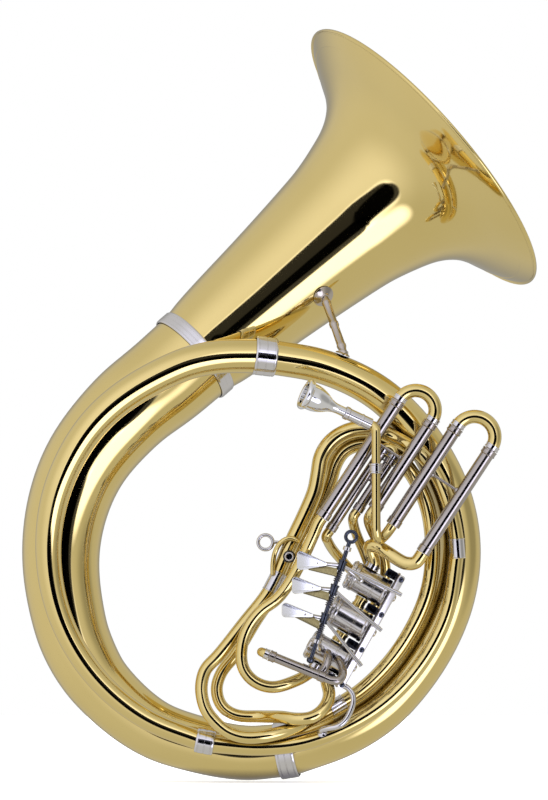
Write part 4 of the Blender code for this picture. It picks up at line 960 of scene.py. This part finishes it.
class HELICON_OT_valve_plate(bpy.types.Operator):
    """Cut the strip across the valves and set its posts"""

    bl_idname = "helicon.valve_plate"
    bl_label = "Valve plate"

    def execute(self, context):
        reach, half = VALVE_PITCH * 2 + STRIP_MARGIN, STRIP_HALF_WIDE
        outline = rounded([(-STRIP_MARGIN, -half), (reach, -half), (reach, half), (-STRIP_MARGIN, half)], [3] * 4, 6)
        holes = [(VALVE_PITCH * number, 0, SHAFT_RADIUS + 1.4) for number in range(3)]
        place = valve_centre(0) + VALVE_AXIS * (CASING_HALF + 0.3 + STRIP_THICK / 2) * MM
        work = bmesh.new()
        slab(work, outline, STRIP_THICK, place, VALVE_AXIS, VALVE_ROW, holes)
        for number in range(POSTS):
            foot = post_place(number)
            front, back = Vector((foot.x, POST_FRONT * MM, foot.z)), Vector((foot.x, POST_BACK * MM, foot.z))
            length = POST_BACK - POST_FRONT
            waist, full = POST_RADIUS - 0.9, POST_RADIUS
            profile = [(0, 0), (full - 0.8, 0), (full, -0.8), (full, -3.6), (waist, -4.6), (waist, -length * 0.6)]
            profile += [(full, -length * 0.6 - 1), (full, -length), (0, -length)]
            spin(work, profile, front, front - back, 32)
        middle = (post_place(0) + post_place(POSTS - 1)) / 2
        middle.y = (POST_FRONT - 1.6) * MM
        length = VALVE_PITCH * (POSTS - 1) / 2 + 5
        outline = rounded([(-length, -4.2), (length, -4.2), (length, 4.2), (-length, 4.2)], [3] * 4, 6)
        slab(work, outline, 1.4, middle, TOWARDS + VALVE_AXIS * 0.42, VALVE_ROW)
        settle("valve_plate_and_posts", work, "casing", ("valve_plate",), sharp_deg=20)
        work = bmesh.new()
        for number in range(POSTS):
            foot = post_place(number)
            foot.y = (POST_FRONT - 2.2) * MM
            screw_head(work, foot, TOWARDS, 3.6, 1.8)
        # Dark blocks between the casings' ends: painted shade standing in for the dark gaps between the casings.
        shade_block = rounded([(-5, -7), (5, -7), (5, 7), (-5, 7)], [1.5] * 4, 4)
        for number in range(-1, 3):
            foot = valve_centre(0) + (VALVE_ROW * VALVE_PITCH * (number + 0.5) + VALVE_AXIS * (CASING_HALF - 6.8)) * MM
            foot.y -= 7 * MM
            slab(work, shade_block, 12, foot, TOWARDS, VALVE_ROW)
        settle("shade_blocks_and_screws", work, "dark_steel")
        return {"FINISHED"}


def axle_point(share):
    top = Vector((AXLE_TOP[0], AXLE_DEPTH, AXLE_TOP[1]))
    foot = Vector((AXLE_FOOT[0], AXLE_DEPTH, AXLE_FOOT[1]))
    return (top + (foot - top) * share) * MM


AXLE_WAY = (axle_point(1) - axle_point(0)).normalized()


def hub_place(number):
    """The axle point at the height of the touch plate's tip."""
    return axle_point((PLATES[number][4] - AXLE_TOP[1]) / (AXLE_FOOT[1] - AXLE_TOP[1]))


class HELICON_OT_levers(bpy.types.Operator):
    """Build the levers with their touch plates, links and springs"""

    bl_idname = "helicon.levers"
    bl_label = "Levers"

    def execute(self, context):
        for number in range(3):
            self.draw_lever(number)
            self.draw_spring(number)
        return {"FINISHED"}

    def draw_lever(self, number):
        tag = str(number + 1)
        hub, pivot = hub_place(number), link_pivot(number)
        end = Vector((pivot.x, hub.y + STOP_ARM_REACH * math.sqrt(0.5) * MM, pivot.z))
        half, bore, full = HUB_LENGTH / 2, AXLE_RADIUS + 0.4, HUB_RADIUS
        work = bmesh.new()
        profile = [(bore, half), (full - 0.5, half), (full, half - 0.5), (full, half - 2), (full - 0.7, half - 2.6)]
        profile += [(full - 0.7, 2.6 - half), (full, 2 - half), (full, 0.5 - half), (full - 0.5, -half), (bore, -half)]
        spin(work, profile, hub, AXLE_WAY, 40)
        settle("lever_%s_hub" % tag, work, "dark_steel", (), "lever_" + tag)
        work = bmesh.new()
        out, wall = (end - hub).normalized(), (full - 1) * MM
        sweep(work, [(hub + out * wall, 2.4 * MM), (hub + out * 16 * MM, 2.0 * MM), (end + out * 3 * MM, 2.4 * MM)], 24)
        left, top, bottom, tip_x, tip_z = PLATES[number]
        under = point(left + (tip_x - left) * 0.55, PLATE_DEPTH, (top + bottom) / 2 * 0.45 + tip_z * 0.55)
        inward = Vector((under.x, hub.y, under.z)) - hub
        neck = [(hub + inward.normalized() * wall, 2.4 * MM), (hub + inward * 0.5 + point(0, -3, 0), 2.2 * MM)]
        neck.append((under + point(0, 1.6, 0), 2.1 * MM))
        sweep(work, smooth(neck, 10), 24)
        settle("lever_%s_arms" % tag, work, NICKEL, ("lever_" + tag,), "lever_" + tag)
        self.draw_touch_plate(tag, number)
        near = end + point(0, 2.8, 0)
        far = pivot + point(0, 2, 0)
        work = bmesh.new()
        rod(work, near, far, LINK_RADIUS, 20)
        for place in (near.lerp(far, 0.12), near.lerp(far, 0.88)):
            hoop(work, place, far - near, LINK_RADIUS, 0.7, 24)
        settle("link_%s_rod" % tag, work, NICKEL, ("link_" + tag,), "link_" + tag)

    def draw_touch_plate(self, tag, number):
        left, top, bottom, tip_x, tip_z = PLATES[number]
        middle = ((left * 2 + tip_x) / 3, (top + bottom + tip_z) / 3)
        corners = [(left, top), (left, bottom), (tip_x, tip_z)]
        outline = rounded([(x - middle[0], z - middle[1]) for x, z in corners], (4.5, 4.5, 2.6))
        facing = Vector((0.12, -1, -0.25))
        work = bmesh.new()
        slab(work, outline, 2.4, point(middle[0], PLATE_DEPTH, middle[1]), facing, Vector((1, 0, 0)), (), 0.8)
        settle("touch_plate_" + tag, work, "touch_plate", (), "lever_" + tag, 20)
        # A web between the touch plate and the hub; its darkened brass is a painted shadow under the plate.
        hub = hub_place(number) / MM
        corners = [(left + 12, bottom + 1), (hub.x - 6, hub.z - 13), (hub.x - 5, hub.z - 3), (left + 20, bottom + 9)]
        outline = rounded([(x - middle[0], z - middle[1]) for x, z in corners], (1.5, 1.5, 1.5, 1.5))
        work = bmesh.new()
        slab(work, outline, 2, point(middle[0], PLATE_DEPTH + 6, middle[1]), Vector((0.1, -1, 0.3)), Vector((1, 0, 0)))
        settle("lever_web_" + tag, work, "shadowed_brass", (), "lever_" + tag)

    def draw_spring(self, number):
        tag = str(number + 1)
        across = -TOWARDS
        third = AXLE_WAY.cross(across)
        start = hub_place(number) + AXLE_WAY * (HUB_LENGTH / 2 + 0.5) * MM
        coil, points = (AXLE_RADIUS + SPRING_WIRE + 0.5) * MM, 24
        lead = 2 * SPRING_WIRE
        route = [start + across * coil]
        for step in range(SPRING_TURNS * points + 1):
            turn = math.tau * step / points
            rise = AXLE_WAY * (lead + SPRING_PITCH * step / points) * MM
            route.append(start + rise + (across * math.cos(turn) + third * math.sin(turn)) * coil)
        route.append(route[-1] + AXLE_WAY * lead * MM)
        work = bmesh.new()
        sweep(work, [(place, SPRING_WIRE * MM) for place in route], 10)
        settle("spring_%s_coil" % tag, work, STEEL, ("spring_" + tag,))


class HELICON_OT_axle(bpy.types.Operator):
    """Build the levers' axle with its pull ring, and the bracket that carries it"""

    bl_idname = "helicon.axle"
    bl_label = "Axle and bracket"

    def execute(self, context):
        length = (axle_point(1) - axle_point(0)).length / MM
        work = bmesh.new()
        shape = [(0, 0), (AXLE_RADIUS, 0), (AXLE_RADIUS, -length), (3.6, -length - 0.6), (4.6, -length - 2)]
        shape += [(4.6, -length - 4), (4.0, -length - 5.6), (2.4, -length - 6.8), (0, -length - 7.2)]
        spin(work, shape, axle_point(0), -AXLE_WAY, 32)
        hoop(work, axle_point(0) - AXLE_WAY * 6.4 * MM, TOWARDS, 6.4, 2.2)
        settle("lever_axle_turned", work, "dark_steel", ("lever_axle",))
        back = point(0, BRACKET_DEPTH - AXLE_DEPTH, 0)
        ends = [axle_point(share) for share in BRACKET_ENDS]
        work = bmesh.new()
        rod(work, ends[0] + back - AXLE_WAY * 4 * MM, ends[1] + back + AXLE_WAY * 4 * MM, 2.5)
        bore = AXLE_RADIUS + 0.35
        for eye in ends:
            spin(work, [(bore, 2.5), (4.6, 2.5), (5, 2.1), (5, -2.1), (4.6, -2.5), (bore, -2.5)], eye, AXLE_WAY, 32)
            rod(work, eye + back.normalized() * 4.2 * MM, eye + back, 1.9)
        for share, valve in ((0.2, 0), (0.8, 2)):
            seat, out = casing_side(valve, -14, TOWARDS)
            route = [(axle_point(share) + back, 2.3 * MM), (seat + out * 7 * MM, 2.3 * MM), (seat, 2.3 * MM)]
            sweep(work, smooth(route, 8, 6), 24)
            spin(work, [(0, 1.6), (2.4, 1.6), (4.4, 0.6), (5.2, -0.2), (0, -0.2)], seat, out, 32)
        settle("axle_bracket_built", work, NICKEL, ("axle_bracket",))
        return {"FINISHED"}


def bend(start, start_way, end, end_way, reach, steps=24):
    """Points of a smooth bend that leaves start along start_way and arrives at end against end_way."""
    handles = (start, start + start_way * reach[0] * MM, end + end_way * reach[1] * MM, end)
    found = []
    for step in range(steps + 1):
        t = step / steps
        weights = ((1 - t) ** 3, 3 * t * (1 - t) ** 2, 3 * t * t * (1 - t), t**3)
        found.append(sum((w * h for w, h in zip(weights, handles)), Vector()))
    return found


class HELICON_OT_leadpipe(bpy.types.Operator):
    """Draw the leadpipe, the clamp, the mouthpipe and its receiver"""

    bl_idname = "helicon.leadpipe"
    bl_label = "Leadpipe"

    def execute(self, context):
        axis, place = Vector(MOUTHPIECE_AXIS).normalized(), point(*MOUTHPIECE_PLACE)
        low = point(LEADPIPE_X, LEADPIPE_DEPTH, CLAMP_HEIGHT - 68)
        route = bend(low, -UP, *sleeve_foot("main", 0), (24, 24))
        stations = [(point(LEADPIPE_X, LEADPIPE_DEPTH, CLAMP_HEIGHT - 0.3), LEADPIPE_RADIUS * MM)]
        for step, knot in enumerate(route):
            share = step / (len(route) - 1)
            stations.append((knot, (LEADPIPE_RADIUS + (CROOK_RADIUS - LEADPIPE_RADIUS) * share) * MM))
        work = bmesh.new()
        sweep(work, stations, 40)
        settle("leadpipe_tube", work, BRASS, ("leadpipe",))
        low = place - axis * 12 * MM
        top = Vector((LEADPIPE_X * MM, LEADPIPE_DEPTH * MM, low.z - 8 * MM))
        route = [place + axis * 0.6 * MM, *bend(low, -axis, top, UP, (3.4, 3.6), 16)]
        route.append(point(LEADPIPE_X, LEADPIPE_DEPTH, CLAMP_HEIGHT + 0.3))
        work = bmesh.new()
        sweep(work, [(knot, LEADPIPE_RADIUS * MM) for knot in route], 40)
        settle("mouthpipe_tube", work, BRASS, ("mouthpipe",), "mouthpipe")
        bore, skin = LEADPIPE_RADIUS + 0.6, LEADPIPE_RADIUS + 1.8
        sleeve = [(bore, 24), (skin + 0.2, 24), (skin + 0.8, 23.4), (skin + 0.8, 19.4), (skin, 18.4), (skin, 3)]
        sleeve += [(skin + 0.5, 2.4), (skin + 0.5, 0.8), (skin, 0.2), (skin, -10.6), (skin - 0.4, -11), (bore, -11)]
        work = bmesh.new()
        spin(work, sleeve, place, axis, 56)
        settle("mouthpiece_receiver_turned", work, NICKEL, ("mouthpiece_receiver",), "mouthpipe")
        inside = LEADPIPE_RADIUS + 0.8
        band = [(inside, 6), (inside + 1.8, 6), (inside + 2.2, 5.6), (inside + 2.2, 3.8), (inside + 1.6, 3.2)]
        band += [(inside + 1.6, -3.2), (inside + 2.2, -3.8), (inside + 2.2, -5.6), (inside + 1.8, -6), (inside, -6)]
        work = bmesh.new()
        spin(work, band, point(LEADPIPE_X, LEADPIPE_DEPTH, CLAMP_HEIGHT), UP, 56)
        settle("mouthpipe_clamp_turned", work, NICKEL, ("mouthpipe_clamp",))
        return {"FINISHED"}


class HELICON_OT_mouthpiece(bpy.types.Operator):
    """Turn the mouthpiece: rim, cup, throat and shank"""

    bl_idname = "helicon.mouthpiece"
    bl_label = "Mouthpiece"

    def execute(self, context):
        outside = smooth_profile(MOUTHPIECE_OUTSIDE, 6)
        profile = smooth_profile(MOUTHPIECE_RIM, 4) + outside + smooth_profile(MOUTHPIECE_BORE, 6)
        work = bmesh.new()
        spin(work, profile, point(*MOUTHPIECE_PLACE), Vector(MOUTHPIECE_AXIS), 96)
        settle("mouthpiece_turned", work, SILVER, ("mouthpiece",), "mouthpiece")
        return {"FINISHED"}


class HELICON_OT_thumb_ring(bpy.types.Operator):
    """Bend the thumb ring on its stem"""

    bl_idname = "helicon.thumb_ring"
    bl_label = "Thumb ring"

    def execute(self, context):
        centre = point(*THUMB_RING_PLACE)
        work = bmesh.new()
        hoop(work, centre, TOWARDS, THUMB_RING_RADIUS, THUMB_RING_WIRE)
        foot = centre + point(THUMB_STEM, 0, -1.6)
        stem = [(centre + point(THUMB_RING_RADIUS, 0, 0), 2.0 * MM), (centre + point(14, 0, 0), 2.0 * MM), (foot, 2.4 * MM)]
        sweep(work, smooth(stem, 8), 24)
        settle("thumb_ring_bent", work, NICKEL, ("thumb_ring",))
        work = bmesh.new()
        sweep(work, smooth([(point(*knot), 3 * MM) for knot in THUMB_GUARD], 8, 4), 28)
        settle("thumb_guard", work, BRASS)
        work = bmesh.new()
        spin(work, [(0, 2.2), (6.6, 2.2), (7.4, 1.4), (7.4, -2), (0, -2)], point(*THUMB_BOSS), TOWARDS, 40)
        settle("thumb_boss", work, "dark_steel")
        work = bmesh.new()
        hoop(work, point(*THUMB_BOSS) + TOWARDS * 3 * MM, TOWARDS, 4.6, 1.1)
        settle("thumb_boss_ring", work, NICKEL)
        return {"FINISHED"}


def ring_surface(rows, angle, turn_degrees=0):
    """A point on a branch, turned from its outermost side towards the viewer, and its outward way."""
    centre, ahead = point(RING_X, 0, RING_Z), in_plane(angle + 90)
    stations = smooth(ring_stations(rows), 8)
    for (here, bore), (there, next_bore) in zip(stations, stations[1:]):
        before, after = (here - centre).dot(ahead), (there - centre).dot(ahead)
        if before <= 0 <= after and (here - centre).dot(in_plane(angle)) > 0:
            share = -before / (after - before)
            along = there - here
            middle, radius = here + along * share, bore + (next_bore - bore) * share
    turn = math.radians(turn_degrees)
    out = in_plane(angle) * math.cos(turn) + TOWARDS * math.sin(turn)
    out = (out - out.project(along)).normalized()
    return middle + out * radius, out


def bell_surface(distance, turn_degrees):
    """A point on the bell, turned from its lower side towards the viewer, and its outward way."""
    axis = bell_axis()
    flare = BELL_MOUTH_RADIUS - BELL_THROAT_RADIUS
    rows = [(BELL_FOOT + BELL_LENGTH * along, BELL_THROAT_RADIUS + flare * wide) for along, wide in BELL_SHAPE]
    for (before, small), (after, large) in zip(rows, rows[1:]):
        if before <= distance <= after:
            slope = (large - small) / (after - before)
            radius = small + slope * (distance - before)
    front = (TOWARDS - TOWARDS.project(axis)).normalized()
    turn = math.radians(turn_degrees)
    side = axis.cross(front) * math.cos(turn) + front * math.sin(turn)
    return point(*BELL_START) + (axis * distance + side * radius) * MM, (side - axis * slope).normalized()


class HELICON_OT_braces(bpy.types.Operator):
    """Build the bell brace with its domed feet, and the bottom brace"""

    bl_idname = "helicon.braces"
    bl_label = "Braces"

    def execute(self, context):
        work, ends = bmesh.new(), []
        for (seat, out), wide in (
            (bell_surface(BELL_BRACE_DISTANCE, BELL_BRACE_TURN_DEG), BELL_FOOT_RADIUS),
            (ring_surface(BIG_BOW, BELL_BRACE_RING_DEG), RING_FOOT_RADIUS),
        ):
            dome = [(0, 6.4), (4.8, 6.2), (5.4, 5.4), (5.8, 4.4), (wide * 0.7, 2.9), (wide * 0.9, 1.9), (wide, 1.0)]
            spin(work, [*dome, (wide, 0.1), (0, 0.1)], seat, out, 56)
            ends.append(seat + out * FOOT_THICK * 1.2 * MM)
        way = (ends[1] - ends[0]).normalized()
        length = (ends[1] - ends[0]).length / MM
        shaft = [(0, 0), (4.2, 0), (4.4, 4), (5.6, 8), (5.8, 10), (5.2, 12), (4.9, length / 2 - 4), (5.8, length / 2 - 2)]
        shaft += [(5.8, length / 2 + 2), (4.9, length / 2 + 4), (5.2, length - 12), (5.8, length - 10), (5.6, length - 8)]
        shaft += [(4.4, length - 4), (4.2, length), (0, length)]
        spin(work, shaft, ends[0], way, 40)
        settle("bell_brace_built", work, "dark_nickel", ("bell_brace",))
        top = post_place(POSTS - 1) + VALVE_AXIS * (POST_RADIUS + 0.35) * MM
        top.y = BOTTOM_BRACE_DEPTH * MM
        seat, out = ring_surface(INNER_BRANCH, BOTTOM_BRACE_RING_DEG, BOTTOM_BRACE_TURN_DEG)
        route = [top, top + VALVE_AXIS * 4 * MM, *(point(*knot) for knot in BOTTOM_BRACE_KNOTS), seat + out * 6 * MM, seat]
        work = bmesh.new()
        sweep(work, smooth([(place, BOTTOM_BRACE_RADIUS * MM) for place in route], 8, 6), 28)
        spin(work, [(0, 2.4), (3.6, 2.2), (5.2, 1.2), (6.4, 0), (0, 0)], seat, out, 32)
        settle("bottom_brace_bent", work, NICKEL, ("bottom_brace",))
        return {"FINISHED"}


def floor_piece(height, colour):
    wide, near, far = 6.0, -6.0, 2.5
    mesh = bpy.data.meshes.new("floor")
    corners = [(-wide, near, height), (wide, near, height), (wide, far, height), (-wide, far, height)]
    mesh.from_pydata(corners, [], [(0, 1, 2, 3)])
    made = bpy.data.objects.new("floor", mesh)
    bpy.context.scene.collection.objects.link(made)
    finish = bpy.data.materials.new("floor")
    finish.use_nodes = True
    shader = finish.node_tree.nodes["Principled BSDF"]
    shader.inputs["Base Color"].default_value = (*colour, 1)
    shader.inputs["Roughness"].default_value = 0.9
    shader.inputs["Emission Color"].default_value = (*colour, 1)
    shader.inputs["Emission Strength"].default_value = 0.6
    mesh.materials.append(finish)
    made.visible_glossy = False


def softbox(name, place, look_at, width, height, power):
    """A soft light that the metal doesn't mirror."""
    data = bpy.data.lights.new(name, "AREA")
    data.shape = "RECTANGLE"
    data.size = width
    data.size_y = height
    data.energy = power
    made = bpy.data.objects.new(name, data)
    bpy.context.scene.collection.objects.link(made)
    made.location = place
    made.rotation_euler = (Vector(look_at) - Vector(place)).to_track_quat("-Z", "Y").to_euler()
    made.visible_glossy = False


class StudioWalls:
    """White walls that the metal mirrors, as levels of light by direction."""

    def __init__(self, tree):
        self.nodes, self.links = tree.nodes, tree.links
        self.way = self.nodes.new("ShaderNodeTexCoord").outputs["Generated"]

    def math(self, operation, *values):
        node = self.nodes.new("ShaderNodeMath")
        node.operation = operation
        for socket, value in zip(node.inputs, values):
            if isinstance(value, (int, float)):
                socket.default_value = value
            else:
                self.links.new(value, socket)
        return node.outputs[0]

    def toned(self, tone, level, more):
        """A colour times a level, plus another colour."""
        node = self.nodes.new("ShaderNodeVectorMath")
        node.operation = "MULTIPLY_ADD"
        for socket, value in zip(node.inputs, (tone, level, more)):
            if isinstance(value, bpy.types.NodeSocket):
                self.links.new(value, socket)
            else:
                socket.default_value = value if isinstance(value, tuple) else (value, value, value)
        return node.outputs[0]

    def near(self, azimuth_deg, height_deg, full_deg, none_deg):
        """1 within full_deg of a direction, falling softly to 0 at none_deg."""
        azimuth, height = math.radians(azimuth_deg), math.radians(height_deg)
        towards = Vector((
            math.sin(azimuth) * math.cos(height), -math.cos(azimuth) * math.cos(height), math.sin(height)
        ))
        dot = self.nodes.new("ShaderNodeVectorMath")
        dot.operation = "DOT_PRODUCT"
        self.links.new(self.way, dot.inputs[0])
        dot.inputs[1].default_value = towards
        angle = self.math("ARCCOSINE", dot.outputs["Value"])
        fall = self.nodes.new("ShaderNodeMapRange")
        fall.interpolation_type = "SMOOTHSTEP"
        self.links.new(angle, fall.inputs["Value"])
        fall.inputs["From Min"].default_value = math.radians(none_deg)
        fall.inputs["From Max"].default_value = math.radians(full_deg)
        return fall.outputs["Result"]


class HELICON_OT_studio(bpy.types.Operator):
    """Set the camera, the pale floor, the white walls and the soft light"""

    bl_idname = "helicon.studio"
    bl_label = "Studio"

    def execute(self, context):
        look = context.scene.helicon_studio
        low = Vector(CAD_BOX[0])
        data = bpy.data.cameras.new("camera")
        data.sensor_fit = "VERTICAL"
        data.sensor_height = 36
        data.lens = 36 * look.camera_distance / look.view_height
        data.clip_end = 100
        camera = bpy.data.objects.new("camera", data)
        context.scene.collection.objects.link(camera)
        camera.location = (-0.0312, -look.camera_distance - 0.04, -0.0276)
        camera.rotation_euler = (math.radians(90), 0, 0)
        context.scene.camera = camera
        floor_piece(low.z - 0.002, tuple(look.floor_colour))
        softbox("top_softbox", (-0.5, -1.5, 3.5), (0, 0, 0), 4.0, 4.0, 200)
        self.build_walls(context.scene, look)
        context.scene.view_settings.view_transform = "Standard"
        return {"FINISHED"}

    def build_walls(self, scene, look):
        world = bpy.data.worlds.new("studio")
        scene.world = world
        world.use_nodes = True
        tree = world.node_tree
        tree.nodes.clear()
        walls = StudioWalls(tree)
        bright, shade = 0.0, 1.0
        for *panel, gain in BRIGHT_PANELS:
            bright = walls.math("ADD", bright, walls.math("MULTIPLY", walls.near(*panel), gain))
        for *panel, depth in DARK_PANELS:
            dim = walls.math("SUBTRACT", 1, walls.math("MULTIPLY", walls.near(*panel), depth))
            shade = walls.math("MULTIPLY", shade, dim)
        light = walls.toned(PANEL_TONE, bright, walls.toned(WALL_TONE, look.wall_light, (0, 0, 0)))
        mirrored, seen = tree.nodes.new("ShaderNodeBackground"), tree.nodes.new("ShaderNodeBackground")
        tree.links.new(light, mirrored.inputs["Color"])
        tree.links.new(shade, mirrored.inputs["Strength"])
        seen.inputs["Color"].default_value = (*look.backdrop_colour, 1)
        blend, path = tree.nodes.new("ShaderNodeMixShader"), tree.nodes.new("ShaderNodeLightPath")
        target = tree.nodes.new("ShaderNodeOutputWorld")
        tree.links.new(path.outputs["Is Camera Ray"], blend.inputs["Fac"])
        tree.links.new(mirrored.outputs["Background"], blend.inputs[1])
        tree.links.new(seen.outputs["Background"], blend.inputs[2])
        tree.links.new(blend.outputs["Shader"], target.inputs["Surface"])


class HELICON_PT_panel(bpy.types.Panel):
    """Lists the steps that draw the helicon"""

    bl_label = "Helicon"
    bl_idname = "HELICON_PT_panel"
    bl_space_type = "VIEW_3D"
    bl_region_type = "UI"
    bl_category = "Helicon"

    def draw(self, context):
        for step in STEPS:
            self.layout.operator("helicon." + step)
        for group in (context.scene.helicon_finish, context.scene.helicon_studio):
            for name in group.__annotations__:
                self.layout.prop(group, name)


STEPS = (
    "bell", "branches", "ferrules", "turns", "crooks", "slides", "valves", "valve_plate", "levers", "axle", "leadpipe",
    "mouthpiece", "thumb_ring", "braces", "studio",
)
CLASSES = (
    HeliconFinish,
    HeliconStudio,
    HELICON_OT_bell,
    HELICON_OT_branches,
    HELICON_OT_ferrules,
    HELICON_OT_turns,
    HELICON_OT_crooks,
    HELICON_OT_slides,
    HELICON_OT_valves,
    HELICON_OT_valve_plate,
    HELICON_OT_levers,
    HELICON_OT_axle,
    HELICON_OT_leadpipe,
    HELICON_OT_mouthpiece,
    HELICON_OT_thumb_ring,
    HELICON_OT_braces,
    HELICON_OT_studio,
    HELICON_PT_panel,
)


def register():
    for found in CLASSES:
        bpy.utils.register_class(found)
    bpy.types.Scene.helicon_finish = bpy.props.PointerProperty(type=HeliconFinish)
    bpy.types.Scene.helicon_studio = bpy.props.PointerProperty(type=HeliconStudio)


def unregister():
    del bpy.types.Scene.helicon_finish
    del bpy.types.Scene.helicon_studio
    for found in reversed(CLASSES):
        bpy.utils.unregister_class(found)


def main():
    register()
    for step in STEPS:
        getattr(bpy.ops.helicon, step)()
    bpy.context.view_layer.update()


if __name__ == "__main__":
    main()
